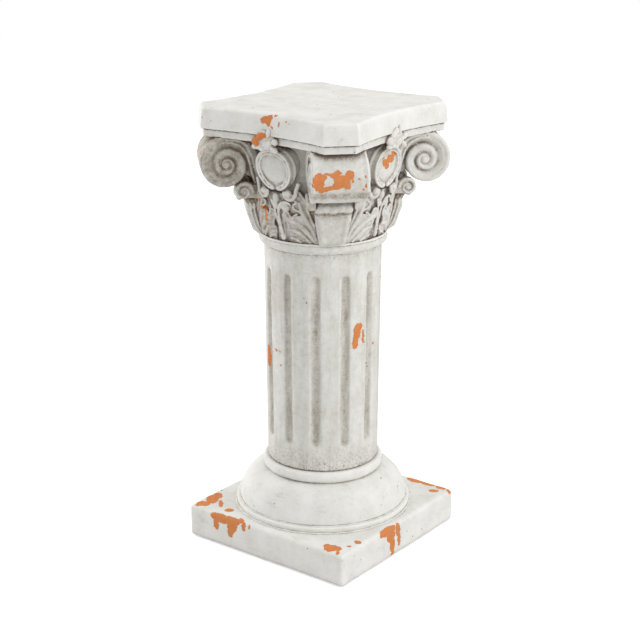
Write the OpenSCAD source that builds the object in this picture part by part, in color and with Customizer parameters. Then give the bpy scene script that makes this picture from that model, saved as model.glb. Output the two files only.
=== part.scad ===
// Pedestal column stand: a hollow cast column of stacked sections with applied capital ornaments.
// Origin at the centre of the plinth's underside, +Z up, the front face of the plinth at -Y.

/* [Overall] */
// Height of the whole stand
stand_h = 570; // [520:5:700]

/* [Plinth] */
// Side of the square plinth
plinth_w = 250; // [240:2:300]
// Height of the plinth
plinth_h = 44; // [36:1:60]
// Radius of the plinth's worn edges
plinth_edge_r = 5; // [2:0.5:8]

/* [Base mouldings] */
// Height of the flat ring that lies on the plinth
base_fillet_h = 8; // [6:0.5:12]
// How far the flat ring stands out past the quarter-round above it
base_fillet_out = 4.5; // [2:0.5:7]
// Outer radius of the quarter-round at its foot
ovolo_r = 109; // [104:0.5:112]
// Height of the quarter-round
ovolo_h = 43.5; // [38:0.5:44]
// Radius of the quarter-round's curve
ovolo_round_r = 44.5; // [44.5:0.5:48]
// Height of the bead ring under the shaft
base_ring_h = 14.5; // [12:0.5:20]
// How far the bead ring stands out past the foot of the shaft
base_ring_out = 6.5; // [5:0.5:9]

/* [Shaft] */
// Radius of the shaft at its foot
shaft_foot_r = 71.5; // [70:0.5:76]
// Radius of the shaft at its top
shaft_top_r = 74; // [72:0.5:78]
// Number of flutes
flute_count = 12; // [8:1:16]
// Width of a flute
flute_w = 13; // [9:0.5:17]
// Depth of a flute
flute_depth = 4.5; // [3:0.5:5]
// Plain length of shaft below the flutes
flute_foot_gap = 31; // [20:1:45]
// Plain length of shaft above the flutes
flute_top_gap = 29; // [20:1:45]
// Height of the bead ring on top of the shaft
neck_ring_h = 11; // [9:0.5:15]
// How far the upper bead ring stands out past the top of the shaft
neck_ring_out = 7; // [5:0.5:9]

/* [Capital] */
// Height of the capital from the upper bead ring to the abacus
capital_h = 125; // [120:1:135]
// How far the bell's foot is set in from the top of the shaft
bell_set_in = 2; // [1:0.5:3]
// How far the bell widens from its foot to its straight upper part
bell_flare = 10; // [8:0.5:14]
// Height at which the bell is straight again
bell_flare_h = 64; // [55:1:68]

/* [Volutes] */
// Width of a corner volute from one spiral side to the other
volute_w = 69; // [64:1:72]
// Distance from the column's axis to the outside of a corner volute
volute_reach = 153.5; // [150:0.5:158]
// Radius of the spiral where it leaves the outside of the volute
volute_r = 32; // [30:0.5:33]
// Distance of the spiral's eye below the abacus
volute_drop = 33; // [32:0.5:34]
// Radius of the eye
volute_eye_r = 4.5; // [4:0.25:5.5]
// Depth of the channel between the turns of the spiral
volute_relief = 3; // [2:0.25:4]
// Radius of the small scroll under each side of a volute
helix_r = 10.5; // [9:0.25:11]
// Gap between a small scroll and the volute above it
helix_gap = 2.4; // [1:0.2:3]

/* [Corner leaves] */
// Width of a corner leaf at its foot
leaf_foot_w = 28; // [24:1:32]
// Width of a corner leaf under its curled tip
leaf_top_w = 43; // [38:1:44]
// How far the curled tip stands out from the bell's straight part
leaf_tip_out = 28; // [24:0.5:31]
// Gap between a leaf's curled tip and the volute above it
leaf_gap = 5.5; // [4:0.5:8]
// How far the raised margins of the leaf stand proud of its panel
leaf_margin_h = 1.5; // [1:0.25:2]

/* [Face ornaments] */
// Width of a cartouche
cartouche_w = 53; // [48:1:56]
// Height of a cartouche
cartouche_h = 53; // [48:1:56]
// How far the middle of a cartouche stands out from the bell
cartouche_out = 17; // [15:0.5:20]
// Angle by which a cartouche leans out at its top, in degrees
cartouche_lean = 10; // [6:0.5:12]
// Width of the cartouche's raised frame
cartouche_frame_w = 5.5; // [4.5:0.25:7]
// Width of a flower
fleuron_w = 39; // [34:0.5:44]
// Height of a flower
fleuron_h = 28; // [25:0.5:30]
// How far a flower laps below the abacus
fleuron_drop = 8; // [5:0.5:10]
// Thickness of the acanthus relief at its foot
spray_foot_t = 7; // [5:0.5:9]
// Thickness of the acanthus relief at its upper tips
spray_tip_t = 11; // [9:0.5:13]
// Width of the stem below each cartouche
stem_w = 6; // [5:0.5:8]
// Radius of the curl at the end of each arm of the stem
curl_r = 4.5; // [3.5:0.25:5]

/* [Abacus] */
// Height of the flat bed course under the abacus
bed_h = 10; // [8:0.5:14]
// How far the bed course is set in from the abacus
bed_set_in = 4; // [3:0.5:6]
// Height of the abacus
slab_h = 26; // [22:1:34]
// Width of the abacus across two opposite sides, at the ends of its corner faces
slab_horn_w = 246; // [240:1:252]
// How far each side of the abacus is hollowed in at its middle
slab_sag = 11.875; // [9:0.125:15]
// Length cut off each side at a corner
slab_corner_cut = 31; // [28:0.5:34]
// How far the sides of the abacus lean in toward the top
slab_lean = 2.5; // [1:0.5:4]
// Size of the softened upper edge of the abacus
slab_edge = 4; // [2:0.5:6]

/* [Joints] */
// Radius of the hollow core
core_r = 51; // [44:1:52]
// Outer radius of the spigots that centre one section on the next
spigot_r = 60; // [57:0.5:61]
// Length by which a spigot enters the section that it centres
spigot_l = 10; // [8:0.5:12]
// Clearance all round a spigot
spigot_clear = 0.5; // [0.3:0.05:0.8]
// Bed of adhesive behind each applied ornament
glue_gap = 0.3; // [0.2:0.05:0.4]

/* [Hidden] */
round_fn = 96;

// Overrun of every cut and of every shape that another one trims
over = plinth_edge_r;

// Levels, from the floor up
base_fillet_top = plinth_h + base_fillet_h;
ovolo_top = base_fillet_top + ovolo_h;
shaft_foot = ovolo_top + base_ring_h;
slab_foot = stand_h - slab_h;
bell_top = slab_foot - bed_h;
bell_foot = bell_top - capital_h;
shaft_top = bell_foot - neck_ring_h;

// Radii that follow from the driving ones
base_fillet_r = ovolo_r + base_fillet_out;
base_ring_r = shaft_foot_r + base_ring_out;
neck_ring_r = shaft_top_r + neck_ring_out;
ring_bulge_share = 0.45;
bell_foot_r = shaft_top_r - bell_set_in;
bell_top_r = bell_foot_r + bell_flare;
socket_r = spigot_r + spigot_clear;
socket_l = spigot_l + 2 * spigot_clear;

// Abacus outline: a square with concave sides and cut corners
slab_half = slab_horn_w / 2;
slab_mid_w = slab_horn_w - 2 * slab_sag;
slab_chord = slab_half - slab_corner_cut;
slab_round_r = (slab_chord * slab_chord + slab_sag * slab_sag) / (2 * slab_sag);
slab_round_at = slab_mid_w / 2 + slab_round_r;
slab_corner_at = (slab_horn_w - slab_corner_cut) / sqrt(2);

// Volute: the spiral's centre, its turns, and the share of its pitch that the raised band takes
volute_at = volute_reach - volute_r;
volute_z = bell_top - volute_drop;
volute_turns = 2.25;
volute_power = 1.4;
volute_band_share = 0.66;
volute_band_turns = [-0.5, 2];
volute_field_turns = [-0.3, 0.42];
volute_disc_share = 1.3;
volute_horn_share = 0.72;
turn_step = 1 / 24;
volute_bottom = volute_z - volute_turn_r(0.25);

// Lower tier of the capital: from the bell's foot to the tops of the leaves
tier_top = volute_bottom - leaf_gap;
tier_h = tier_top - bell_foot;

// Small scroll: its eye lies below the volute, square to the volute's curve
helix_turn_share = 0.3375;
helix_turns = 1.5;
helix_power = 1.2;
helix_eye_r = helix_r / 4;
helix_band_turns = [-0.5, 1.25];
helix_band_share = 0.7;
helix_disc_share = 0.9;
helix_root_share = 0.8;
helix_reach = volute_turn_r(helix_turn_share) + helix_gap + helix_r;
helix_at = volute_at + helix_reach * cos(-360 * helix_turn_share);
helix_z = volute_z + helix_reach * sin(-360 * helix_turn_share);

// Clear space between one ornament and its neighbour
side_gap = 2 * glue_gap;
spray_tip_share = 0.27;
arm_reach = bell_foot_r * spray_tip_share - curl_r - side_gap;
fleuron_seat = slab_mid_w / 2 - bed_set_in + glue_gap;

function corner_turn(name) =
    name == "front_right" ? -45 : name == "back_right" ? 45 : name == "back_left" ? 135 : 225;
function face_turn(name) =
    name == "front" ? 0 : name == "right" ? 90 : name == "back" ? 180 : 270;

// Radius of a spiral after a number of turns, from r at the outside down to eye
function spiral_r(t, r, eye, turns, power) = eye + (r - eye) * pow(max(0, 1 - t / turns), power);
function volute_turn_r(t) = spiral_r(t, volute_r, volute_eye_r, volute_turns, volute_power);
// Point of a spiral that runs down its outer side and curls in
function spiral_point(t, radius) = [radius * cos(-360 * t), radius * sin(-360 * t)];
// Closed outline of a spiral band from turn t0 to turn t1
function spiral_band(t0, t1, step, r, eye, turns, power, share) = concat(
    [for (t = [t0 : step : t1]) spiral_point(t, spiral_r(t, r, eye, turns, power))],
    [for (k = [0 : step : t1 - t0])
        let (t = t1 - k, out = spiral_r(t, r, eye, turns, power),
             next = spiral_r(t + 1, r, eye, turns, power))
        spiral_point(t, out - share * (out - next))]
);

// A profile turned round the column's axis
module turned() {
    rotate_extrude($fn = round_fn) children();
}

// Half profile of a rectangle from radius r0 to r1 and from level z0 to z1
module band(r0, r1, z0, z1) {
    translate([r0, z0]) square([r1 - r0, z1 - z0]);
}

// Half profile of a bead ring: a flat ring whose rim bulges by a circle
module bead(rim_r, z0, z1) {
    half_h = (z1 - z0) / 2;
    bulge = half_h * ring_bulge_share;
    round_r = (half_h * half_h + bulge * bulge) / (2 * bulge);
    intersection() {
        translate([rim_r - round_r, z0 + half_h]) circle(round_r, $fn = round_fn);
        band(rim_r - round_r, rim_r, z0, z1);
    }
    band(socket_r, rim_r - 2 * bulge, z0, z1);
}

// Outline of a rectangle w by h, standing on its base, with all corners rounded by r
function soft_rect(w, h, r, steps = 3) = [
    for (q = [[1, 1, 0], [-1, 1, 90], [-1, -1, 180], [1, -1, 270]], k = [0 : steps])
        let (a = q[2] + 90 * k / steps)
        [q[0] * (w / 2 - r) + r * cos(a), h / 2 + q[1] * (h / 2 - r) + r * sin(a)]
];

module soft_wall() {
    rotate([90, 0, 0])
        linear_extrude(plinth_w + 2 * over, center = true)
            polygon(soft_rect(plinth_w, plinth_h, plinth_edge_r));
}

module plinth() {
    color("#DEDDD8")
        difference() {
            intersection() {
                translate([0, -plinth_w / 2, 0])
                    linear_extrude(plinth_h)
                        polygon(soft_rect(plinth_w, plinth_w, plinth_edge_r));
                soft_wall();
                rotate([0, 0, 90]) soft_wall();
            }
            turned() {
                band(0, core_r, -over, plinth_h + over);
                band(0, socket_r, plinth_h - socket_l, plinth_h + over);
            }
        }
}

module base_fillet() {
    color("#D9D8D2")
        turned() band(socket_r, base_fillet_r, plinth_h, base_fillet_top);
}

module base_ovolo() {
    round_at = ovolo_r - ovolo_round_r;
    color("#E2E1DC")
        turned() difference() {
            union() {
                intersection() {
                    translate([round_at, base_fillet_top]) circle(ovolo_round_r, $fn = round_fn);
                    band(round_at, ovolo_r, base_fillet_top, ovolo_top);
                }
                band(core_r, round_at, base_fillet_top, ovolo_top);
                band(core_r, spigot_r, plinth_h - spigot_l, base_fillet_top);
            }
            band(0, socket_r, ovolo_top - socket_l, ovolo_top + over);
        }
}

module base_ring() {
    color("#D6D4CE") turned() bead(base_ring_r, ovolo_top, shaft_foot);
}

// One flute cutter, standing on the axis of the shaft: a rod with rounded ends
module flute_rod(rod_r, length) {
    end_steps = 5;
    rotate_extrude($fn = 48)
        polygon(concat(
            [for (k = [0 : end_steps])
                let (a = -90 + 90 * k / end_steps) [rod_r * cos(a), rod_r + rod_r * sin(a)]],
            [for (k = [0 : end_steps])
                let (a = 90 * k / end_steps) [rod_r * cos(a), length - rod_r + rod_r * sin(a)]]
        ));
}

module shaft() {
    shaft_h = shaft_top - shaft_foot;
    rod_r = (flute_w * flute_w / 4 + flute_depth * flute_depth) / (2 * flute_depth);
    lean = atan((shaft_top_r - shaft_foot_r) / shaft_h);
    flute_l = shaft_h - flute_foot_gap - flute_top_gap;
    flute_foot_r = shaft_foot_r + (shaft_top_r - shaft_foot_r) * flute_foot_gap / shaft_h;
    color("#E4E3DF")
        difference() {
            turned() {
                polygon([
                    [core_r, shaft_foot], [shaft_foot_r, shaft_foot],
                    [shaft_top_r, shaft_top], [core_r, shaft_top]
                ]);
                band(core_r, spigot_r, ovolo_top - spigot_l, shaft_foot);
                band(core_r, spigot_r, shaft_top, bell_foot + spigot_l);
            }
            for (k = [0 : flute_count - 1])
                rotate([0, 0, 360 * k / flute_count])
                    translate([flute_foot_r - flute_depth + rod_r, 0, shaft_foot + flute_foot_gap])
                        rotate([0, lean, 0])
                            flute_rod(rod_r, flute_l);
        }
}

module neck_ring() {
    color("#E0DED9") turned() bead(neck_ring_r, shaft_top, bell_foot);
}

// Half profile of the bell's outside, pushed out by a margin, from the axis outwards
module bell_side(margin) {
    flare_top = bell_foot + bell_flare_h;
    polygon([
        [0, bell_foot], [bell_foot_r + margin, bell_foot],
        [bell_top_r + margin, flare_top], [bell_top_r + margin, bell_top], [0, bell_top]
    ]);
}

module capital_bell() {
    color("#A59A8C")
        turned() difference() {
            union() {
                bell_side(0);
                band(core_r, spigot_r, bell_top, slab_foot + spigot_l);
            }
            band(0, core_r, bell_foot - over, bell_top + over);
            band(0, socket_r, bell_foot - over, bell_foot + socket_l);
        }
}

// Clearance cut for the back of anything that is glued to the bell
module bell_cut() {
    turned() {
        bell_side(glue_gap);
        band(0, bell_foot_r + glue_gap, bell_foot - over, bell_foot);
    }
}

// Plan of the abacus, set in by a margin
module abacus_plan(margin) {
    half = slab_half - margin;
    difference() {
        square(2 * half, center = true);
        for (k = [0 : 3]) rotate(90 * k) {
            translate([0, -slab_round_at]) circle(slab_round_r + margin, $fn = 360);
            rotate(-45) translate([slab_corner_at - margin, -slab_half]) square(slab_horn_w);
        }
    }
}

// Trims one concave side and one corner of the abacus from level z0 up, to faces that lie
// margin in from the plan at z0 and lean in by slope for each unit of height
module abacus_trim(margin, z0, slope) {
    foot = z0 - over;
    height = stand_h + over - foot;
    inset = margin - slope * over;
    reach = margin + slope * (stand_h + over - z0);
    translate([0, -slab_round_at, foot])
        cylinder(h = height, r1 = slab_round_r + inset, r2 = slab_round_r + reach, $fn = 360);
    rotate([0, 0, -45]) corner_plate(slab_horn_w)
        polygon([
            [slab_corner_at - inset, foot], [slab_horn_w, foot],
            [slab_horn_w, foot + height], [slab_corner_at - reach, foot + height]
        ]);
}

module abacus_bed() {
    color("#CFCBC3")
        translate([0, 0, bell_top])
            linear_extrude(bed_h)
                difference() {
                    abacus_plan(bed_set_in);
                    circle(socket_r, $fn = round_fn);
                }
}

// Steps of the softened upper edge: its height and its slope, as shares of slab_edge
slab_edge_shares = [[1, 0.3], [0.4, 1.3]];

module abacus_slab() {
    slope = slab_lean / slab_h;
    color("#E7E6E2")
        difference() {
            translate([-slab_half, -slab_half, slab_foot]) cube([slab_horn_w, slab_horn_w, slab_h]);
            for (k = [0 : 3]) rotate([0, 0, 90 * k]) {
                abacus_trim(0, slab_foot, slope);
                abacus_trim(slab_lean, stand_h - slab_edge * slab_edge_shares[0][0], slab_edge_shares[0][1]);
                abacus_trim(slab_lean + slab_edge * slab_edge_shares[0][1] / 2,
                    stand_h - slab_edge * slab_edge_shares[1][0], slab_edge_shares[1][1]);
            }
            turned() band(0, socket_r, slab_foot - over, slab_foot + socket_l);
        }
}

// A plate that stands in the vertical plane through the axis and a corner
module corner_plate(thickness) {
    rotate([90, 0, 0]) linear_extrude(thickness, center = true) children();
}

// Raised spiral band of a volute, in that plane
module volute_band() {
    intersection() {
        translate([volute_at, volute_z]) {
            polygon(spiral_band(volute_band_turns[0], volute_band_turns[1], turn_step,
                volute_r, volute_eye_r, volute_turns, volute_power, volute_band_share));
            circle(volute_eye_r * volute_disc_share, $fn = 24);
        }
        band(0, 2 * volute_reach, 0, bell_top);
    }
}

// Sunk field of a volute between the turns, with the horn that carries it to the bell
module volute_field() {
    inset = volute_relief / 2;
    horn_foot = volute_z - volute_r * volute_horn_share;
    intersection() {
        polygon(concat(
            [for (t = [volute_field_turns[0] : turn_step : volute_field_turns[1]])
                [volute_at, volute_z] + spiral_point(t, volute_turn_r(t) - inset)],
            [[bell_top_r, horn_foot], [core_r, horn_foot], [core_r, bell_top + over]]
        ));
        band(0, 2 * volute_reach, 0, bell_top);
    }
}

module volute(corner) {
    color("#E0DED8")
        rotate([0, 0, corner_turn(corner)])
            difference() {
                union() {
                    corner_plate(volute_w) volute_band();
                    corner_plate(volute_w - 2 * volute_relief) volute_field();
                }
                bell_cut();
            }
}

// Height of a leaf's rounded shoulders and of its raised margins, as shares of the tier's height,
// and the width of a margin as a share of the leaf's foot
leaf_round_share = 0.12;
leaf_margin_share = 0.74;
leaf_margin_w_share = 1 / 6;

// Half the width of a corner leaf at a share of the tier's height
function leaf_half(share) = let (grown = min(1, share / (1 - leaf_round_share)))
    (leaf_foot_w + (leaf_top_w - leaf_foot_w) * grown) / 2;

// Right half of a quarter-ellipse shoulder at the top of a leaf
function leaf_shoulder(start) = let (half = leaf_half(1), round_w = half * leaf_round_share)
    [for (k = [0 : 4]) let (a = start + 90 * k / 4)
        [(start == 0 ? 1 : -1) * (half - round_w) + round_w * cos(a),
         tier_top + tier_h * leaf_round_share * (sin(a) - 1)]];

// Front outline of a corner leaf: a wedge that widens to its rounded top
function leaf_outline() = concat(
    [[-leaf_half(0), bell_foot], [leaf_half(0), bell_foot]], leaf_shoulder(0), leaf_shoulder(90)
);

// Shares of the tier's height and of the tip's reach that give a corner leaf its front profile
leaf_profile_shares = [
    [0.00, 0.20], [0.10, 0.44], [0.36, 0.58], [0.48, 0.64], [0.60, 0.68], [0.72, 0.66],
    [0.78, 0.72], [0.82, 0.90], [0.88, 1.00], [0.94, 0.98], [1.00, 0.84]
];

// Half profile of a corner leaf: from the bell out to its front
module leaf_profile(extra) {
    difference() {
        polygon(concat(
            [[core_r, tier_top], [core_r, bell_foot]],
            [for (s = leaf_profile_shares)
                [bell_foot_r + (bell_flare + leaf_tip_out) * s[1] + extra, bell_foot + tier_h * s[0]]]
        ));
        bell_side(glue_gap);
    }
}

// All that lies beyond a corner leaf's left edge, grown by a margin
function leaf_beyond(margin) = [
    [-leaf_half(0) - margin, bell_foot - over], [volute_reach, bell_foot - over],
    [volute_reach, volute_z], [-leaf_half(1) - margin, volute_z],
    [-leaf_half(1) - margin, tier_top - tier_h * leaf_round_share],
    [-leaf_half(0) - margin, bell_foot]
];

// A front outline pushed out along the radius of a corner
module corner_outline(points) {
    rotate([90, 0, 90]) linear_extrude(volute_reach) polygon(points);
}

module leaf(corner) {
    margin_w = leaf_foot_w * leaf_margin_w_share;
    margin_top = bell_foot + tier_h * leaf_margin_share;
    color("#DCD9D3")
        rotate([0, 0, corner_turn(corner)]) {
            intersection() {
                turned() leaf_profile(0);
                corner_outline(leaf_outline());
            }
            for (side = [-1, 1])
                intersection() {
                    turned() leaf_profile(leaf_margin_h);
                    corner_outline([
                        [side * leaf_half(0), bell_foot],
                        [side * leaf_half(leaf_margin_share), margin_top],
                        [side * (leaf_half(leaf_margin_share) - margin_w), margin_top],
                        [side * (leaf_half(0) - margin_w), bell_foot]
                    ]);
                }
        }
}

// Small scroll on the right-hand half of a face, beside the corner leaf, grown by a margin:
// its spiral band, and the thinner disc and root that carry the band to the bell
module helix_right(margin = 0) {
    inner = leaf_top_w / 2 + side_gap;
    thickness = volute_w / 2 - inner;
    root = helix_r * helix_root_share + margin;
    rotate([0, 0, -45])
        translate([0, -inner - thickness / 2, 0]) {
            corner_plate(thickness + 2 * margin)
                translate([helix_at, helix_z])
                    polygon(spiral_band(helix_band_turns[0], helix_band_turns[1], turn_step,
                        helix_r + margin, helix_eye_r, helix_turns, helix_power,
                        helix_band_share));
            corner_plate(thickness - volute_relief + 2 * margin) {
                translate([helix_at, helix_z]) circle(helix_r * helix_disc_share + margin, $fn = 32);
                band(core_r, helix_at, helix_z - root, helix_z + root);
            }
        }
}

module helix(face, side) {
    color("#D8D5CE")
        rotate([0, 0, face_turn(face)])
            mirror([side == "l" ? 1 : 0, 0, 0])
                difference() {
                    helix_right();
                    bell_cut();
                }
}

// Front profile of the acanthus relief and the stem, thin at the foot and thick at the tips:
// shares of the bell's flare, of the growth in thickness and of the height where the flare ends
spray_profile_shares = [[0, 0, 0], [0.5, 0, 0.3], [1, 1, 0.75]];

// Half profile of the acanthus relief and the stem, from the bell out to their front
module spray_profile(extra) {
    front = [for (s = spray_profile_shares)
        [bell_foot_r + bell_flare * s[0] + spray_foot_t + (spray_tip_t - spray_foot_t) * s[1] + extra,
         bell_foot + bell_flare_h * s[2]]];
    difference() {
        polygon(concat(
            [[core_r, bell_foot]], front,
            [[bell_top_r + spray_tip_t + extra, tier_top + over], [core_r, tier_top + over]]
        ));
        bell_side(glue_gap);
    }
}

// Outline of the right-hand acanthus spray on a face, as shares of the bell's foot radius
// across and of the tier's height up: three lobes that lean away from the corner leaf
spray_outline_shares = [
    [0.64, 0.00], [0.48, 0.04], [0.34, 0.13], [0.21, 0.17], [0.21, 0.26], [0.30, 0.30],
    [0.38, 0.30], [0.27, 0.41], [0.17, 0.50], [0.11, 0.58], [0.13, 0.66], [0.20, 0.68],
    [0.28, 0.63], [0.34, 0.68], [0.28, 0.74], [spray_tip_share, 0.82], [0.31, 0.88],
    [spray_tip_share, 0.97], [0.31, 1.05], [0.39, 1.05], [0.45, 0.93], [0.52, 0.80],
    [0.62, 0.76], [0.85, 0.76], [0.85, 0.00]
];

module face_outline(points) {
    rotate([90, 0, 0]) linear_extrude(volute_reach) polygon(points);
}

module spray(face, side) {
    color("#D3CFC7")
        rotate([0, 0, face_turn(face)])
            mirror([side == "l" ? 1 : 0, 0, 0])
                difference() {
                    intersection() {
                        turned() spray_profile(0);
                        face_outline([for (s = spray_outline_shares)
                            [bell_foot_r * s[0], bell_foot + tier_h * s[1]]]);
                    }
                    rotate([0, 0, -45]) corner_outline(leaf_beyond(side_gap));
                    helix_right(side_gap);
                }
}

// Outline of the right half of a stem: shares of the stem's half width and of its arm's reach
// across, and of the tier's height up
stem_outline_shares = [
    [-0.6, 0.00, 0.00], [0.6, 0.00, 0.00], [1.1, 0.00, 0.08], [0.7, 0.00, 0.16],
    [0.8, 0.00, 0.55], [0.8, 0.12, 0.76], [1.0, 0.50, 0.93], [0.0, 1.00, 0.98],
    [0.0, 1.00, 1.06], [0.0, 0.60, 1.04], [0.0, 0.20, 0.92], [-0.2, 0.00, 0.84]
];

module stem(face) {
    right_half = [for (s = stem_outline_shares)
        [stem_w / 2 * s[0] + arm_reach * s[1], bell_foot + tier_h * s[2]]];
    color("#D3CFC7")
        rotate([0, 0, face_turn(face)])
            difference() {
                union() {
                    for (side = [0, 1])
                        mirror([side, 0, 0])
                            intersection() {
                                turned() spray_profile(-glue_gap);
                                face_outline(right_half);
                            }
                    for (side = [-1, 1])
                        translate([side * arm_reach, curl_r - bell_top_r - spray_tip_t, tier_top])
                            sphere(curl_r, $fn = 48);
                }
                bell_cut();
            }
}

// Taper of the cartouche's outline, depth of its frame as a share of the frame's width, and
// radius of its domed field as a share of the field's width
egg_taper_share = 0.1;
frame_depth_share = 0.6;
dome_share = 1.4;

// Egg-shaped outline, w wide and h high, its broad end up
function egg(w, h, steps = 36) = [
    for (k = [0 : steps - 1])
        let (a = 360 * k / steps)
        [w / 2 * cos(a) * (1 + egg_taper_share * sin(a)), h / 2 * sin(a)]
];

module cartouche(face) {
    field_w = cartouche_w - 2 * cartouche_frame_w;
    field_h = cartouche_h - 2 * cartouche_frame_w;
    frame_t = cartouche_frame_w * frame_depth_share;
    dome_r = field_w * dome_share;
    back = cartouche_out + bell_flare;
    color("#DDDAD4")
        rotate([0, 0, face_turn(face)])
            difference() {
                translate([0, -bell_top_r - cartouche_out, volute_z])
                    rotate([90 - cartouche_lean, 0, 0])
                        difference() {
                            translate([0, 0, -back])
                                linear_extrude(back) polygon(egg(cartouche_w, cartouche_h));
                            difference() {
                                translate([0, 0, -frame_t])
                                    linear_extrude(frame_t + over)
                                        polygon(egg(field_w, field_h));
                                translate([0, 0, -dome_r]) sphere(dome_r, $fn = round_fn);
                            }
                        }
                bell_cut();
                translate([-cartouche_w, -volute_reach, bell_top])
                    cube([2 * cartouche_w, volute_reach, over]);
            }
}

// A lens-shaped petal, w across and t thick, lying flat on its middle plane
module petal(w, t) {
    lens_r = (w * w + t * t) / (4 * t);
    intersection() {
        translate([0, 0, lens_r - t / 2]) sphere(lens_r, $fn = 64);
        translate([0, 0, -lens_r + t / 2]) sphere(lens_r, $fn = 64);
    }
}

// Flower: its petals, the width of one and the bud's radius as shares of the flower's height, a
// petal's thickness as a share of its width, how far petal and bud stand out as shares of that
// thickness, and the disc behind them as a share of the petals' ring
petal_count = 5;
petal_w_share = 0.55;
bud_share = 0.2;
petal_t_share = 0.5;
petal_out_share = 0.8;
bud_out_share = 1.1;
petal_disc_share = 1.2;

module fleuron(face) {
    petal_w = fleuron_h * petal_w_share;
    petal_t = petal_w * petal_t_share;
    across = (fleuron_w - petal_w) / 2;
    up = (fleuron_h - petal_w) / 2;
    color("#E0DDD7")
        rotate([0, 0, face_turn(face)])
            difference() {
                translate([0, -fleuron_seat, bell_top - fleuron_drop + fleuron_h / 2]) {
                    for (k = [0 : petal_count - 1])
                        let (a = 90 + 360 * k / petal_count)
                        translate([across * cos(a), -petal_t * petal_out_share, up * sin(a)])
                            rotate([90, 0, 0]) petal(petal_w, petal_t);
                    translate([0, -petal_t * bud_out_share, 0])
                        sphere(fleuron_h * bud_share, $fn = 48);
                    rotate([90, 0, 0]) cylinder(h = petal_t, r = up * petal_disc_share, $fn = 48);
                }
                translate([-fleuron_w, -fleuron_seat, bell_top - fleuron_h])
                    cube([2 * fleuron_w, fleuron_seat, 2 * fleuron_h]);
                translate([-fleuron_w, -(slab_mid_w / 2 + 2 * glue_gap), slab_foot - glue_gap])
                    cube([2 * fleuron_w, bed_set_in + slab_sag, fleuron_h]);
            }
}

plinth();
base_fillet();
base_ovolo();
base_ring();
shaft();
neck_ring();
capital_bell();
abacus_bed();
abacus_slab();
volute("front_right");  // volute_front_right
volute("back_right");  // volute_back_right
volute("back_left");  // volute_back_left
volute("front_left");  // volute_front_left
leaf("front_right");  // leaf_front_right
leaf("back_right");  // leaf_back_right
leaf("back_left");  // leaf_back_left
leaf("front_left");  // leaf_front_left
cartouche("front");  // cartouche_front
cartouche("right");  // cartouche_right
cartouche("back");  // cartouche_back
cartouche("left");  // cartouche_left
fleuron("front");  // fleuron_front
fleuron("right");  // fleuron_right
fleuron("back");  // fleuron_back
fleuron("left");  // fleuron_left
stem("front");  // stem_front
stem("right");  // stem_right
stem("back");  // stem_back
stem("left");  // stem_left
spray("front", "l");  // acanthus_front_l
spray("front", "r");  // acanthus_front_r
spray("right", "l");  // acanthus_right_l
spray("right", "r");  // acanthus_right_r
spray("back", "l");  // acanthus_back_l
spray("back", "r");  // acanthus_back_r
spray("left", "l");  // acanthus_left_l
spray("left", "r");  // acanthus_left_r
helix("front", "l");  // helix_front_l
helix("front", "r");  // helix_front_r
helix("right", "l");  // helix_right_l
helix("right", "r");  // helix_right_r
helix("back", "l");  // helix_back_l
helix("back", "r");  // helix_back_r
helix("left", "l");  // helix_left_l
helix("left", "r");  // helix_left_r
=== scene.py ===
"""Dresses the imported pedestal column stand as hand-cast stone: soft worn edges, deep carving, an
antique-white wash with dirt in its hollows, and bare terracotta where the wash has chipped."""

from math import cos, exp, pi, radians, sin

import bpy
from bpy.props import FloatProperty, FloatVectorProperty, PointerProperty
from mathutils import Matrix, Vector


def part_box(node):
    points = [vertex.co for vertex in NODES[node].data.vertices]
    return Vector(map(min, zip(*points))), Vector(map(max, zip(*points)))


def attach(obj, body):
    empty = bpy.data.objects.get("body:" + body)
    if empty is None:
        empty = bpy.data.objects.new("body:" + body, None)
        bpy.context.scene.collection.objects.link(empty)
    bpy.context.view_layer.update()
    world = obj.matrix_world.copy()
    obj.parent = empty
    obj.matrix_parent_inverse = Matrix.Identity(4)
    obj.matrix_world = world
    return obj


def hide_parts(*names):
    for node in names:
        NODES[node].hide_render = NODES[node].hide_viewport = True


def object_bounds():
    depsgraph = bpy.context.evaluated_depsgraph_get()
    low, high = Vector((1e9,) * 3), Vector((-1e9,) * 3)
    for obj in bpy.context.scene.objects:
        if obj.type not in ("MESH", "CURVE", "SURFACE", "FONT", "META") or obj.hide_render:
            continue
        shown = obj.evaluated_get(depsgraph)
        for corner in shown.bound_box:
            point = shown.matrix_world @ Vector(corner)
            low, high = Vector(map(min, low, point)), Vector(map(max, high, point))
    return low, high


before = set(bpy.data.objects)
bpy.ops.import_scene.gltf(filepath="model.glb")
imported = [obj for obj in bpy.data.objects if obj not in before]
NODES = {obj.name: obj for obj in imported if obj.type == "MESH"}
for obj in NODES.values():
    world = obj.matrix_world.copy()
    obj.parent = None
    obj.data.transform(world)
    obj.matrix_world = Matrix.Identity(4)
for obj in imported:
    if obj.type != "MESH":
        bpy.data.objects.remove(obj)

bl_info = {
    "name": "Cast Stone Pedestal",
    "version": (1, 0, 0),
    "blender": (4, 5, 0),
    "location": "3D View > Sidebar > Pedestal",
    "description": "Builds the worn cast-stone finish and carving of a column pedestal",
    "category": "Object",
}

CAD_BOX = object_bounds()
BODY = "root"
MM = 0.001

# Where the four faces and the four corners lie, in degrees anticlockwise seen from above: a face
# ornament is modelled on the front, a corner ornament on the +X side
FACE_TURNS = {"front": 0, "right": 90, "back": 180, "left": 270}
CORNER_TURNS = {"front_right": -45, "back_right": 45, "back_left": 135, "front_left": 225}

# Levels and radii of the capital, in millimetres
BELL_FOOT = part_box("neck_ring")[1].z / MM
BELL_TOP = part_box("abacus_bed")[0].z / MM
BELL_TOP_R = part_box("capital_bell")[1].x / MM
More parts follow.
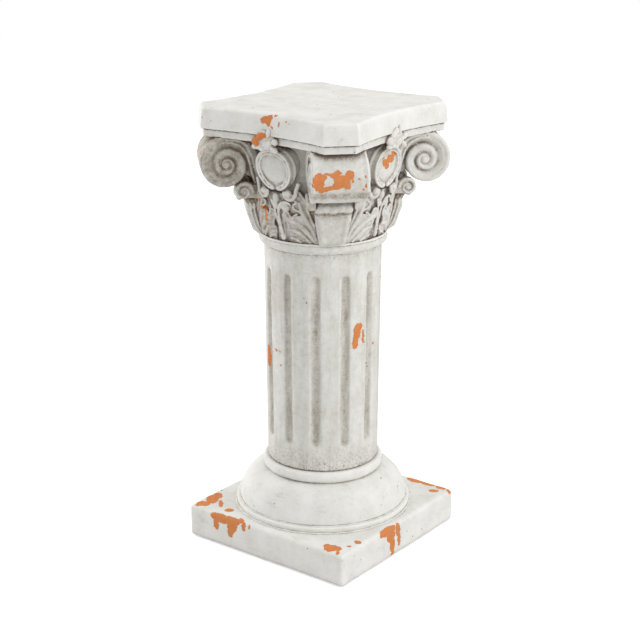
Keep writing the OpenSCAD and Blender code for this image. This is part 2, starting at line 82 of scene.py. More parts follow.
# The bell starts a little inside the shaft's top, and widens over its lower part only
BELL_FOOT_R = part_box("shaft")[1].x / MM - 2
BELL_FLARE_H = 64
# Radius on which the lower carving is measured before it is wrapped round the bell
RELIEF_R = 86
# How far the lower carving stands out from the bell, at its foot and at its tips
RELIEF_FOOT = 7
RELIEF_TIP = 11
# Level where the lower carving starts, just above the ring, and where it has its full thickness
FOOT_Z = 409.6
RELIEF_FULL = BELL_FOOT + 48
# Radii of the fluted shaft at its foot and its top
SHAFT_SKIN = (71.5, 74)

# Distance in which points of a mesh are doubles
WELD = 0.001 * MM
# Depth and length of the small waves left by the mould, on carvings and on plain sections
CARVING_WAVES = (1.0 * MM, 10 * MM)
SECTION_WAVES = (0.5 * MM, 7 * MM)

# Sizes of the finish's patterns, each with its detail and roughness: brushed mottling, patches of
# dirt, blotches and specks in them, and the sandy grain. Real grain is about 0.4 mm, too fine to
# show in the render, so that it is drawn coarser
MOTTLE, PATCH, BLOTCH = (30 * MM, 5, 0.55), (17 * MM, 2, 0.55), (6.5 * MM, 5, 0.65)
SPECK, GRAIN = (2.4 * MM, 3, 0.7), (1.3 * MM, 2, 0.55)
# The same of strokes, before they are drawn out: scuffs, streaks in the flutes and brush marks
SCUFF, STREAK, BRUSH = (4.5 * MM, 4, 0.7), (9 * MM, 4, 0.55), (12 * MM, 5, 0.7)
# Mean distance between pinholes
PINHOLES = 13 * MM
# Size of the tears in a chip's edge, and how far they reach
TEAR, TEAR_REACH = 4.5 * MM, 3.5 * MM
# How far a facing surface may be from a hollow, and from a joint, to shelter dirt in it; in the
# hollows this darkening is painted shade as well
HOLLOW, JOINT = 13 * MM, 4 * MM

# Chips of the wash, as ellipsoids in millimetres: centre, turn about the upright axis in degrees,
# and half sizes along, through and up
SLAB_CHIPS = (
    (-0.5, -109.4, 563.1, -1, 8.3, 4.5, 4.7), (4.8, -108.6, 566.9, -2, 4.6, 4.5, 2.8),
    (-4.1, -109.7, 561, 1, 4.4, 4.5, 2.6), (12.1, -106.5, 569.6, -11, 2.9, 1.5, 3.5),
    (2.8, -109.9, 558.8, -1, 3.3, 4.5, 2.8), (19.2, -110.3, 560.2, -3, 1.3, 4.5, 3.7),
    (8.5, -110.4, 555.3, -1, 2.1, 4.5, 1.4), (30.2, -110.6, 564.2, -4, 1.4, 4.5, 1),
    (35.6, -111.4, 561.4, -5, 1.3, 4.5, 0.8),
)
FLOWER_CHIPS = (
    (-4.6, -114.2, 544.9, 10, 7.3, 4.5, 4), (-10.7, -112.9, 541.6, -16, 7.4, 4.5, 4.2),
    (-15.5, -114.2, 537, -7, 6.7, 4.5, 4.3), (-12.5, -112.9, 534.3, 23, 3.1, 4.5, 3.7),
)
STRAP_CHIPS = (
    (90.7, -125.1, 506.3, 40, 8.4, 4.5, 8.4), (88.5, -126.9, 499.9, 46, 4.4, 4.5, 7.3),
    (91.4, -123.3, 495.6, 43, 3.8, 4.5, 6.4), (95, -119.5, 494.2, 43, 3.8, 4.5, 2.3),
    (98.7, -116.9, 496.6, 44, 7.1, 4.5, 2.6), (104.7, -111.6, 498.8, 47, 8.5, 4.5, 3.6),
    (104.2, -112.8, 505.4, 44, 7.8, 4.5, 7.9), (109.9, -107.1, 505.1, 44, 8.5, 4.5, 6.8),
    (114.7, -100.7, 511, 44, 5.4, 4.5, 5.8), (113.4, -103.2, 499.6, 46, 4.2, 4.5, 4.9),
    (98.7, -116, 512.9, 46, 7.1, 4.5, 1.9), (104.8, -109.9, 514.2, 45, 4.5, 4.5, 2.9),
    (117.9, -98.9, 504.2, 45, 1.5, 4.5, 1.9), (122.9, -93.1, 506.7, 48, 1.4, 4.5, 1.1),
    (127.8, -87.3, 509.3, 35, 1, 4.5, 2.2), (128, -87.4, 498.5, 35, 1.1, 4.5, 2.9),
    (125.6, -87.8, 493.9, 41, 1, 4.5, 1.5), (84.6, -131.1, 500.4, 12, 1.3, 4.5, 2.2),
)
# Islands of wash inside the chips of the near volute's strap
STRAP_KEPT = (
    (98.9, -117.8, 504.8, 44, 4.8, 4.5, 5.7), (97.1, -119.5, 502.7, 43, 3.4, 4.5, 4.4),
)
CARTOUCHE_CHIPS = (
    (99.4, 2.4, 511.4, -87, 8.1, 4.5, 5.3), (98.3, 9.2, 514.9, -85, 5.6, 4.5, 3.6),
    (99.1, -6.4, 508, 82, 6.4, 4.5, 4.3), (98.9, -3.9, 502.7, 88, 4.3, 4.5, 3.5),
    (98, -11.2, 514.4, 86, 2.4, 4.5, 2.1), (98.6, -9.5, 509.7, 79, 2, 4.5, 1.7),
)
LEFT_VOLUTE_CHIPS = (
    (-84.5, -126.5, 521, -43, 3.4, 4.5, 0.9), (-92.5, -121.5, 514.5, -43, 1.6, 4.5, 2.8),
    (-97, -118.8, 500.5, -43, 1.5, 4.5, 2.8), (-97.6, -118.2, 494.5, -43, 1.3, 4.5, 1.5),
)
LEFT_LEAF_CHIPS = (
    (-38, -79, 465.4, 46, 1.7, 4.5, 1.7), (-34.5, -80.5, 457.5, 42, 2.6, 4.5, 2.6),
    (-28.6, -81.1, 449.5, 10, 4.2, 7.5, 2.6), (-24, -84, 446.5, 10, 2.9, 7.5, 3.2),
    (-22.6, -84.6, 441.5, 10, 2.4, 7.5, 4.6), (-22.9, -84.2, 436, 10, 2.3, 7.5, 3.4),
)
SHAFT_CHIPS = (
    (-41, -58.8, 248.6, 16, 3.3, 4.5, 14.2), (-41.8, -58.9, 257.9, -3, 2.7, 4.5, 6.1),
    (-20, -69.9, 263.7, -17, 2.7, 4.5, 1.4), (-13.8, -71.4, 264.2, -11, 1.6, 4.5, 1),
    (-12.2, -71.6, 246.4, -10, 1.7, 4.5, 1.2), (69.8, -21.6, 294, 72, 5.6, 4.5, 11),
    (68.9, -24.2, 281, 71, 4.4, 4.5, 9.5), (71.2, -16.5, 300, 77, 2.6, 4.5, 4.5),
    (68.2, -26, 276.4, 69, 2.1, 4.5, 3.7), (72, -12.6, 286, 81, 2.2, 4.5, 9),
    (72.4, 8.8, 270.9, -83, 2.4, 4.5, 1.3),
)
PLINTH_CHIPS = (
    (-110.6, -95.2, 44, -46, 13.6, 8.2, 3.5), (-112, -82.4, 44, -47, 10, 6.2, 3.5),
    (-110.6, -112.9, 43.9, 26, 9.2, 7.5, 3.5), (-92.5, -99, 44, -49, 11, 3, 3.5),
    (-114.5, -120.5, 43.6, 0, 3.7, 2.7, 3.5), (-70.4, -108.1, 44, 12, 5.8, 5.4, 3.5),
    (-71, -124.4, 38.8, -1, 17.5, 4.5, 6.8), (-51.5, -124, 40.8, -1, 13.5, 4.5, 5.2),
    (-78.4, -125, 28.4, 0, 4.6, 4.5, 8.2), (-51.6, -125, 32.6, 0, 8.5, 4.5, 8.9),
    (-54.4, -125, 23.3, 0, 4.8, 4.5, 6.7), (-38.7, -121.2, 43.4, -41, 5.9, 3.5, 3.5),
    (-32.5, -124.7, 37.4, -1, 3.3, 4.5, 6.6), (-23.6, -124.4, 39.6, -1, 1.7, 4.5, 2.9),
    (100.1, -115.1, 43.9, 55, 9.4, 8.5, 3.5), (108.3, -111.7, 43.7, -56, 6.5, 4.2, 3.5),
    (94.3, -114.6, 44, -53, 7.1, 4.9, 3.5), (113.5, -119.5, 43.4, -52, 4.1, 2.2, 3.5),
    (114.9, -97.9, 43.5, 42, 3.2, 2.4, 3.5), (116.7, -82.5, 43.7, -51, 4.7, 4.2, 3.5),
    (124, -28, 39.8, 90, 17.5, 4.5, 6.4), (124.9, -21.2, 31.1, -90, 9.5, 4.5, 9.2),
    (124.9, -17.7, 17.1, -89, 6, 4.5, 10.3), (124.8, -16.9, 5.4, -89, 3.7, 4.5, 6),
    (124.8, -5.7, 34.5, -89, 5.4, 4.5, 9.4), (124.8, -2.8, 19.8, 89, 3.4, 4.5, 9.4),
    (67, 117, 44, 0, 12, 6, 3.5), (88, 117.5, 44, 0, 12, 5, 3.5), (107, 104, 44, 37, 7, 4.5, 3.5),
    (109, 118, 44, 0, 7.5, 4.5, 3.5), (122, 117, 42, 90, 3, 4, 4.5),
)


def linear(hex_colour):
    """Linear RGBA of an sRGB hex value."""
    channels = [int(hex_colour[i:i + 2], 16) / 255 for i in (1, 3, 5)]
    return [c / 12.92 if c <= 0.04045 else ((c + 0.055) / 1.055) ** 2.4 for c in channels] + [1.0]


class PedestalWear(bpy.types.PropertyGroup):
    """How far the casting is worn."""

    section_voxel: FloatProperty(
        name="Section grid", description="Grid of the skin over the turned and square sections",
        default=1.9 * MM, min=1 * MM, max=4 * MM, unit="LENGTH")
    carving_voxel: FloatProperty(
        name="Carving grid", description="Grid of the skin over the carved ornaments",
        default=0.85 * MM, min=0.5 * MM, max=2 * MM, unit="LENGTH")
    wave_depth: FloatProperty(
        name="Unevenness", description="Depth of the slow waves that hand casting leaves",
        default=1.1 * MM, min=0, max=3 * MM, unit="LENGTH")
    wave_size: FloatProperty(
        name="Wave length", description="Length of those waves",
        default=55 * MM, min=10 * MM, max=200 * MM, unit="LENGTH")


class PedestalFinish(bpy.types.PropertyGroup):
    """Colours of the paint and of what has settled on it, and of the painted shade in hollows and
    the painted highlight on ridges.
    """

    wash: FloatVectorProperty(
        name="Wash", description="Antique-white wash", subtype="COLOR", size=4,
        default=linear("#E7E6E2"), min=0, max=1)
    # Lighter wash on the ridges: dry brushing, and a painted highlight on the convex edges
    dry_brush_and_highlight: FloatVectorProperty(
        name="Dry brushing", description="Lighter wash brushed over ridges", subtype="COLOR",
        size=4, default=linear("#F1F0ED"), min=0, max=1)
    # Grey-brown of the dirt, which also paints the shade in hollows, grooves and flutes
    grime_and_shade: FloatVectorProperty(
        name="Grime", description="Grey-brown dirt in the hollows", subtype="COLOR", size=4,
        default=linear("#887E6B"), min=0, max=1)
    terracotta: FloatVectorProperty(
        name="Terracotta", description="Undercolour where the wash has chipped",
        subtype="COLOR", size=4, default=linear("#CB7C45"), min=0, max=1)


class PedestalStage(bpy.types.PropertyGroup):
    """Camera and light."""

    azimuth: FloatProperty(
        name="Camera azimuth", description="Turn of the camera to the right of the front",
        default=radians(37.3), subtype="ANGLE")
    elevation: FloatProperty(
        name="Camera elevation", description="Angle at which the camera looks down",
        default=radians(17.95), subtype="ANGLE")
    distance: FloatProperty(
        name="Camera distance", description="Distance from the camera to the column's axis",
        default=1.955, min=0.5, max=10, unit="LENGTH")
    aim_height: FloatProperty(
        name="Aim height", description="Height that the camera aims at",
        default=0.2896, min=0, max=1, unit="LENGTH")
    aim_side: FloatProperty(
        name="Aim offset", description="How far to the right of the axis the camera aims",
        default=-0.0037, min=-0.1, max=0.1, unit="LENGTH")
    lens_px: FloatProperty(
        name="Focal length in pixels", description="Focal length for a picture 640 pixels wide",
        default=1532, min=300, max=5000)
    key_power: FloatProperty(
        name="Key light", description="Power of the large lamp at the right", default=13,
        min=0, max=500, unit="POWER")
    sky: FloatProperty(
        name="Room light", description="Strength of the even light from all round",
        default=0.80, min=0, max=2)


def lone(piece):
    """Selects a piece, and nothing else."""
    bpy.ops.object.select_all(action="DESELECT")
    piece.select_set(True)
    bpy.context.view_layer.objects.active = piece


def apply_modifier(piece, kind, **settings):
    """Adds one modifier and applies it."""
    modifier = piece.modifiers.new(kind.title(), kind)
    for name, value in settings.items():
        setattr(modifier, name, value)
    lone(piece)
    bpy.ops.object.modifier_apply(modifier=modifier.name)


def new_piece(name, data):
    """A new object at the origin, of a mesh, curve, lamp or camera."""
    piece = bpy.data.objects.new(name, data)
    bpy.context.scene.collection.objects.link(piece)
    return piece


def weld(piece, outward=False):
    """Merges a mesh's doubles and, if asked, turns its faces outwards."""
    lone(piece)
    bpy.ops.object.mode_set(mode="EDIT")
    bpy.ops.mesh.select_all(action="SELECT")
    bpy.ops.mesh.remove_doubles(threshold=WELD)
    if outward:
        bpy.ops.mesh.normals_make_consistent(inside=False)
    bpy.ops.object.mode_set(mode="OBJECT")
    return piece


def mesh_piece(name, points, faces):
    """A piece from points in millimetres."""
    mesh = bpy.data.meshes.new(name)
    mesh.from_pydata([Vector(p) * MM for p in points], [], faces)
    return weld(new_piece(name, mesh), outward=True)


def prism(name, back, front):
    """Closed block between two like outlines in millimetres."""
    count = len(back)
    sides = [(k, (k + 1) % count, (k + 1) % count + count, k + count) for k in range(count)]
    ends = [tuple(range(count)), tuple(range(2 * count - 1, count - 1, -1))]
    return mesh_piece(name, back + front, sides + ends)


def casting_copy(node, name):
    """Merged copy of a CAD node's mesh."""
    piece = new_piece(name, NODES[node].data.copy())
    piece.data.materials.clear()
    return weld(piece)


def rod(points, radii):
    """Round rod through points in millimetres, as a mesh."""
    curve = bpy.data.curves.new("rod", "CURVE")
    curve.dimensions = "3D"
    curve.bevel_depth = MM
    curve.bevel_resolution = 3
    curve.resolution_u = 6
    curve.use_fill_caps = True
    spline = curve.splines.new("BEZIER")
    spline.bezier_points.add(len(points) - 1)
    for knot, point, radius in zip(spline.bezier_points, points, radii):
        knot.co = Vector(point) * MM
        knot.radius = radius
        knot.handle_left_type = knot.handle_right_type = "AUTO"
    piece = new_piece("rod", curve)
    lone(piece)
    bpy.ops.object.convert(target="MESH")
    return bpy.context.view_layer.objects.active


def ball(centre, sizes, turn=0):
    """Ellipsoid with half sizes in millimetres, turned in the plane of the front."""
    bpy.ops.object.select_all(action="DESELECT")
    bpy.ops.mesh.primitive_uv_sphere_add(
        segments=24, ring_count=14, radius=MM, location=Vector(centre) * MM,
        rotation=(0, radians(turn), 0), scale=sizes)
    bpy.ops.object.transform_apply(location=True, rotation=True, scale=True)
    return bpy.context.view_layer.objects.active


def fuse(parts, voxel, rounds):
    """Joins parts into one skin and rubs it smooth."""
    lone(parts[0])
    for part in parts[1:]:
        part.select_set(True)
    if len(parts) > 1:
        bpy.ops.object.join()
    piece = bpy.context.view_layer.objects.active
    apply_modifier(piece, "REMESH", mode="VOXEL", voxel_size=voxel)
    apply_modifier(piece, "SMOOTH", factor=0.5, iterations=rounds)
    return piece


def ripple(piece, depth, size):
    """Slow waves over a surface, from a procedural cloud."""
    clouds = bpy.data.textures.new("casting waves", "CLOUDS")
    clouds.noise_scale = size
    clouds.noise_depth = 2
    apply_modifier(piece, "DISPLACE", texture=clouds, texture_coords="LOCAL",
                   strength=depth, mid_level=0.5)


def keep_inside(piece, low, high):
    """Holds every point of a piece within two corners."""
    for vertex in piece.data.vertices:
        vertex.co = [min(max(c, a), b) for c, a, b in zip(vertex.co, low, high)]


def keep_under_abacus(piece):
    """Cuts off what a carving would push into the bed course of the abacus."""
    keep_inside(piece, (-1, -1, 0), (1, 1, BELL_TOP * MM))


def finish_piece(piece, name, node, material):
    """Names a piece, gives it its stone and lets it stand for its CAD node, if it has one."""
    piece.name = piece.data.name = name
    piece.data.materials.clear()
    piece.data.materials.append(material)
    lone(piece)
    bpy.ops.object.shade_smooth()
    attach(piece, BODY)
    if node:
        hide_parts(node)


def spread(piece, kind, turns, stone, special=None, paired=False):
    """Copies an ornament to its places round the capital. A paired one stands twice on each face,
    mirrored at the left. special gives the stone of a node that isn't like the rest."""
    low, high = CAD_BOX
    for place, turn in turns.items():
        for side in ("_l", "_r") if paired else ("",):
            name, node = f"{kind}_casting_{place}{side}", f"{kind}_{place}{side}"
            copy = new_piece(name, piece.data.copy())
            copy.data.transform(Matrix.Rotation(radians(turn), 4, "Z")
                                @ Matrix.Scale(-1 if side == "_l" else 1, 4, (1, 0, 0)))
            if side == "_l":
                copy.data.flip_normals()
            ripple(copy, *CARVING_WAVES)
            keep_inside(copy, low, high)
            finish_piece(copy, name, node, (special or {}).get(node, stone))
    bpy.data.objects.remove(piece)


def bell_radius(z):
    """Radius of the bell at a level, in millimetres."""
    share = min(max((z - BELL_FOOT) / BELL_FLARE_H, 0), 1)
    return BELL_FOOT_R + (BELL_TOP_R - BELL_FOOT_R) * share


def relief_front(z):
    """How far the lower carving stands out from the bell at a level."""
    share = min(max((z - BELL_FOOT) / (RELIEF_FULL - BELL_FOOT), 0), 1)
    return RELIEF_FOOT + (RELIEF_TIP - RELIEF_FOOT) * share


def flat(angle, z, height=0.0):
    """Flat place of a point of the lower carving: angle from the face's middle in degrees, level,
    and height over the carving's front."""
    return Vector((radians(angle) * RELIEF_R, -relief_front(z) - height, z))


def stroke(path, radii, height):
    """Rod along a path of angles and levels, at a height over the carving's front."""
    if not isinstance(radii, (list, tuple)):
        radii = [radii] * len(path)
    return rod([flat(a, z, height) for a, z in path], radii)


def plate(outline, sink):
    """Flat-backed slab of the lower carving inside an outline of angles and levels. Its front lies
    sunk behind the carving's, and its back inside the bell."""
    back = [Vector((radians(a) * RELIEF_R, 1.5, z)) for a, z in outline]
    return prism("plate", back, [flat(a, z, -sink) for a, z in outline])


def wrap_round_bell(piece):
    """Bends a flat carving round the front of the bell."""
    for vertex in piece.data.vertices:
        x, y, z = vertex.co / MM
        radius, angle = bell_radius(z) - y, x / RELIEF_R
        vertex.co = Vector((radius * sin(angle), -radius * cos(angle), z)) * MM


def add_node(tree, kind, inputs=(), output=0, **settings):
    """Adds a shader node with its settings and links, and gives one of its outputs. inputs holds
    values or other nodes' outputs, in the order of the sockets or by their names."""
    node = tree.nodes.new("ShaderNode" + kind)
    for name, value in settings.items():
        setattr(node, name, value)
    for socket, value in inputs.items() if isinstance(inputs, dict) else enumerate(inputs):
        if isinstance(value, bpy.types.NodeSocket):
            tree.links.new(value, node.inputs[socket])
        else:
            node.inputs[socket].default_value = value
    return node.outputs[output] if node.outputs else None


# Sockets of the Mix node for colours, which share their names with those for numbers
MIX_FACTOR, MIX_A, MIX_B, MIX_RESULT = 0, 6, 7, 2


def chip_distance(tree, coords, chips):
    """How far a point lies from the nearest chip, 1 being its edge. A chip is an ellipsoid: its
    centre, its turn about the upright axis and its half sizes along, through and up."""
    nearest = None
    for x, y, z, turn, along, through, up in chips:
        local = add_node(tree, "Mapping", {
            "Vector": coords, "Location": Vector((x, y, z)) * MM,
            "Rotation": (0, 0, radians(turn)), "Scale": Vector((along, through, up)) * MM,
        }, vector_type="TEXTURE")
        reach = add_node(tree, "VectorMath", (local,), "Value", operation="LENGTH")
        nearest = reach if nearest is None else add_node(
            tree, "Math", (nearest, reach), operation="MINIMUM")
    return nearest


def cast_stone(name, grime_and_shade_gain=1.0, stain_and_shade=0.0, chips=(), kept=(), flutes=0.0, band=None):
    """Lightweight cast stone under an antique-white wash: quite matt, with a fine sandy grain,
    pinholes from air in the mould, brushed mottling, and dirt that the wash has left in hollows,
    darkened further there as painted shade; the ridges are lighter, dry brushing with a painted
    highlight. grime_and_shade_gain is the strength of the dirt and painted shade in hollows and
    grooves, stain_and_shade how much of the dark wash is left on the open surface, which on the
    darkest pieces stands for painted shade, flutes the strength of the dirt and painted shade in a
    shaft's flutes, and band the level, half height and strength of a belt of dirt and painted
    shade. chips are bare, apart from what is kept in them."""
    finish = bpy.context.scene.pedestal_finish
    material = bpy.data.materials.new(name)
    material.use_nodes = True
    tree = material.node_tree
    tree.nodes.clear()
    coords = add_node(tree, "TexCoord", output="Object")
    pointed = add_node(tree, "NewGeometry", output="Pointiness")
    brushed = add_node(tree, "Mapping", {
        "Vector": coords, "Rotation": (0.5, 0.35, 0.6), "Scale": (0.22, 1, 1)})
    mottle, patch, blotch, speck, grain, scuffed = (
        add_node(tree, "TexNoise", {
            "Vector": place, "Scale": 1 / size, "Detail": detail, "Roughness": roughness})
        for place, (size, detail, roughness) in (
            (coords, MOTTLE), (coords, PATCH), (coords, BLOTCH), (coords, SPECK), (coords, GRAIN),
            (brushed, SCUFF)))

    # Wash: brushed unevenly, thinner in a fine speckle, scuffed along the strokes, and lighter on
    # the ridges, where it was brushed on dry and where a highlight is painted
    cloudy = add_node(tree, "MapRange", (mottle, 0.38, 0.68))
    thin = add_node(tree, "Math", (
        add_node(tree, "MapRange", (grain, 0.52, 0.75)),
        add_node(tree, "MapRange", (blotch, 0.4, 0.7))), operation="MULTIPLY")
    thin = add_node(tree, "Math", (thin, 0.36), operation="MULTIPLY")
    scuff = add_node(tree, "Math", (
        add_node(tree, "MapRange", (scuffed, 0.53, 0.68)),
        add_node(tree, "MapRange", (mottle, 0.44, 0.62, 0.0, 0.3))), operation="MULTIPLY")
    # Lighter on convex edges: dry brushing and a painted highlight
    ridge = add_node(tree, "MapRange", (pointed, 0.51, 0.57))

    # Dirt: grains of it lie in hollows, joints and grooves; in the hollows and grooves this
    # darkening is painted shade as well
    grains = add_node(tree, "Math", (
        add_node(tree, "MapRange", (speck, 0.36, 0.62, 0.5, 1.25)),
        add_node(tree, "MapRange", (blotch, 0.32, 0.66, 0.65, 1.2))), operation="MULTIPLY")
    uneven = add_node(tree, "MapRange", (patch, 0.4, 0.62, 0.2, 1.3))
    hollow, joint = (add_node(tree, "AmbientOcclusion", {"Distance": reach}, "AO", samples=8)
                     for reach in (HOLLOW, JOINT))
    # Ambient occlusion darkens the hollows: dirt there, and painted shade
    crevice_dirt_and_shade = add_node(tree, "MapRange", (hollow, 0.84, 0.3, 0.0, 0.8))
    line = add_node(tree, "Math", (
        add_node(tree, "MapRange", (joint, 0.8, 0.4, 0.0, 0.5)), uneven), operation="MULTIPLY")
    dirt_and_shade = add_node(tree, "Math", (
        add_node(tree, "Math", (crevice_dirt_and_shade, line), operation="ADD"),
        add_node(tree, "Math", (grains, grime_and_shade_gain), operation="MULTIPLY")), operation="MULTIPLY")
    # Creases that the pointiness finds darken too: dirt and painted shade
    groove = add_node(tree, "Math", (
        add_node(tree, "MapRange", (pointed, 0.497, 0.44)), uneven), operation="MULTIPLY")
    in_grooves = add_node(tree, "Math", (grains, 0.6 * grime_and_shade_gain), operation="MULTIPLY")
    dirt_and_shade = add_node(tree, "Math", (groove, in_grooves, dirt_and_shade), operation="MULTIPLY_ADD")

    # Patches where the dark wash wasn't wiped off, on some pieces strong enough to stand for
    # painted shade, dirt and painted shade in the flutes, and a belt of dirt and painted shade
    unwiped = add_node(tree, "Math", (
        add_node(tree, "MapRange", (blotch, 0.32, 0.66, 0.4, 1.0)),
        add_node(tree, "MapRange", (speck, 0.3, 0.66, 0.7, 1.15))), operation="MULTIPLY")
    dirt_and_shade = add_node(tree, "Math", (unwiped, stain_and_shade, dirt_and_shade), operation="MULTIPLY_ADD")
    if flutes:
        dirt_and_shade = add_node(tree, "Math", (dirt_and_shade, flute_dirt_and_shade(tree, coords, speck, flutes)),
                        operation="ADD")
    if band:
        middle, half, strength = band
        # The blotches, whose mean is a half, make the belt's edge wander by some millimetres
        wander = 5 * MM
        level = add_node(tree, "SeparateXYZ", (coords,), "Z")
        level = add_node(tree, "Math", (blotch, wander, level), operation="MULTIPLY_ADD")
        off = add_node(tree, "Math", (level, middle * MM + wander / 2), operation="SUBTRACT")
        off = add_node(tree, "Math", (off,), operation="ABSOLUTE")
        # The belt darkens round one level: dirt and painted shade
        belt = add_node(tree, "MapRange", (off, half * MM, 0.4 * half * MM, 0.0, strength))
        dirt_and_shade = add_node(tree, "Math", (belt, grains, dirt_and_shade), operation="MULTIPLY_ADD")

    # The ridges were rubbed clean, and even the worst dirt and painted shade let some wash through
    rubbed = add_node(tree, "MapRange", (ridge, 0.0, 1.0, 1.0, 0.6))
    dirt_and_shade = add_node(tree, "Math", (dirt_and_shade, rubbed), operation="MULTIPLY")
    dirt_and_shade = add_node(tree, "Math", (dirt_and_shade, 0.0), operation="MAXIMUM")
    dirt_and_shade = add_node(tree, "Math", (dirt_and_shade, 0.92), operation="MINIMUM")

    # Pinholes, where the blotches leave room for them
    spot = add_node(tree, "TexVoronoi", {
        "Vector": coords, "Scale": 1 / PINHOLES, "Randomness": 1.0}, feature="F1")
    pinhole = add_node(tree, "Math", (
        spot, add_node(tree, "MapRange", (blotch, 0.47, 0.64, 0.0, 0.12))), operation="LESS_THAN")
    dark = add_node(tree, "Math", (pinhole, 0.75), operation="MULTIPLY")
    relief = add_node(tree, "Math", (
        grain, 0.22, add_node(tree, "Math", (blotch, 0.6), operation="MULTIPLY"),
    ), operation="MULTIPLY_ADD")
    relief = add_node(tree, "Math", (relief, pinhole), operation="SUBTRACT")

    # Coats, from the wash out: how much of each covers those before it, and its colour. Two of the
    # colours are themselves mixed: old dirt, with the painted shade, is browner the deeper the
    # hollow, and the bare undercolour is mottled
    coats = [(cloudy, linear("#DCDBD5")), (thin, linear("#B4AFA4")), (scuff, linear("#A39D91")),
             (ridge, finish.dry_brush_and_highlight), (dirt_and_shade, add_node(tree, "Mix", {
                 MIX_FACTOR: crevice_dirt_and_shade, MIX_A: finish.grime_and_shade, MIX_B: linear("#7B6250"),
             }, MIX_RESULT, data_type="RGBA")), (dark, linear("#3F3933"))]
    if chips:
        # Chips have torn edges and lie a step down from the wash
        tear = add_node(tree, "TexNoise", {
            "Vector": coords, "Scale": 1 / TEAR, "Detail": 5.0, "Roughness": 0.72}, "Color")
        shift = add_node(tree, "VectorMath", (tear, [2 * TEAR_REACH] * 3, [-TEAR_REACH] * 3),
                         operation="MULTIPLY_ADD")
        torn = add_node(tree, "VectorMath", (coords, shift), operation="ADD")
        bare = add_node(tree, "Math", (chip_distance(tree, torn, chips), 1.0),
                        operation="LESS_THAN")
        if kept:
            around = add_node(tree, "Math", (chip_distance(tree, torn, kept), 1.0),
                              operation="GREATER_THAN")
            bare = add_node(tree, "Math", (bare, around), operation="MULTIPLY")
        coats.append((bare, add_node(tree, "Mix", {
            MIX_FACTOR: add_node(tree, "MapRange", (blotch, 0.3, 0.75)),
            MIX_A: finish.terracotta, MIX_B: linear("#D38A57"),
        }, MIX_RESULT, data_type="RGBA")))
        step = add_node(tree, "Math", (bare, 0.7), operation="MULTIPLY")
        relief = add_node(tree, "Math", (relief, step), operation="SUBTRACT")
    painted = finish.wash
    for cover, coat in coats:
        painted = add_node(tree, "Mix", {MIX_FACTOR: cover, MIX_A: painted, MIX_B: coat},
                           MIX_RESULT, data_type="RGBA")
    bump = add_node(tree, "Bump", {"Height": relief, "Distance": 0.7 * MM, "Strength": 0.75})
    shader = add_node(tree, "BsdfPrincipled", {
        "Base Color": painted, "Roughness": 0.9, "Specular IOR Level": 0.25, "Normal": bump})
    add_node(tree, "OutputMaterial", {"Surface": shader})
    return material


def flute_dirt_and_shade(tree, coords, speck, gain):
    """Streaks of dirt and painted shade in the flutes, darker the deeper they go, and grains of
    dirt near the two ends of the shaft, with painted shadow under the neck ring.
    """
    separate = add_node(tree, "SeparateXYZ", (coords,)).node.outputs
    squares = [add_node(tree, "Math", (separate[axis], 2.0), operation="POWER") for axis in "XY"]
    across = add_node(tree, "Math", (add_node(tree, "Math", squares, operation="ADD"),),
                      operation="SQRT")
    level, foot, top = separate["Z"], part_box("base_ring")[1].z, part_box("neck_ring")[0].z
    skin = add_node(tree, "MapRange", (level, foot, top, *(r * MM for r in SHAFT_SKIN)))
    depth = add_node(tree, "Math", (skin, across), operation="SUBTRACT")
    # The deeper a point lies in a flute, the darker: dirt and painted shade
    sunk = add_node(tree, "MapRange", (depth, 0.4 * MM, 2.2 * MM))
    # Two kinds of strokes, drawn out along the shaft
    streak, brush = (
        add_node(tree, "TexNoise", {
            "Vector": add_node(tree, "Mapping", {"Vector": coords, "Scale": (1, 1, squeeze)}),
            "Scale": 1 / size, "Detail": detail, "Roughness": roughness})
        for squeeze, (size, detail, roughness) in ((0.16, STREAK), (0.12, BRUSH)))
    streak = add_node(tree, "MapRange", (streak, 0.34, 0.66, 0.25, 1.15))
    brush = add_node(tree, "MapRange", (brush, 0.42, 0.7, 0.0, 0.2))
    in_flutes = add_node(tree, "Math", (sunk, streak), operation="MULTIPLY")
    in_flutes = add_node(tree, "Math", (
        in_flutes, add_node(tree, "MapRange", (speck, 0.3, 0.7, 0.75 * gain, 1.2 * gain)),
    ), operation="MULTIPLY")
    in_flutes = add_node(tree, "Math", (in_flutes, brush), operation="ADD")
    # Darker near the foot, dirt, and under the neck ring, dirt and painted shadow
    ends = add_node(tree, "Math", (
        add_node(tree, "MapRange", (level, foot + 34 * MM, foot, 0.0, 0.5)),
        add_node(tree, "MapRange", (level, top - 14 * MM, top, 0.0, 0.3))), operation="ADD")
    return add_node(tree, "Math", (
        ends, add_node(tree, "MapRange", (speck, 0.46, 0.66)), in_flutes),
        operation="MULTIPLY_ADD")


def seen_directly(tree):
    """1 for what the camera sees, also in a reflection or through glass, and 0 for other light."""
    ray = add_node(tree, "LightPath").node.outputs
    direct = add_node(tree, "Math", (ray["Is Camera Ray"], ray["Is Glossy Ray"]),
                      operation="MAXIMUM")
    return add_node(tree, "Math", (direct, ray["Is Transmission Ray"]), operation="MAXIMUM")


def spiral_radius(turn, outer, eye, turns, power):
    """Radius of a scroll after some turns in from its outside, or out from there if below 0. The
    higher the power is, the faster it winds in at first."""
    return eye + (outer - eye) * max(0.0, 1 - turn / turns) ** power


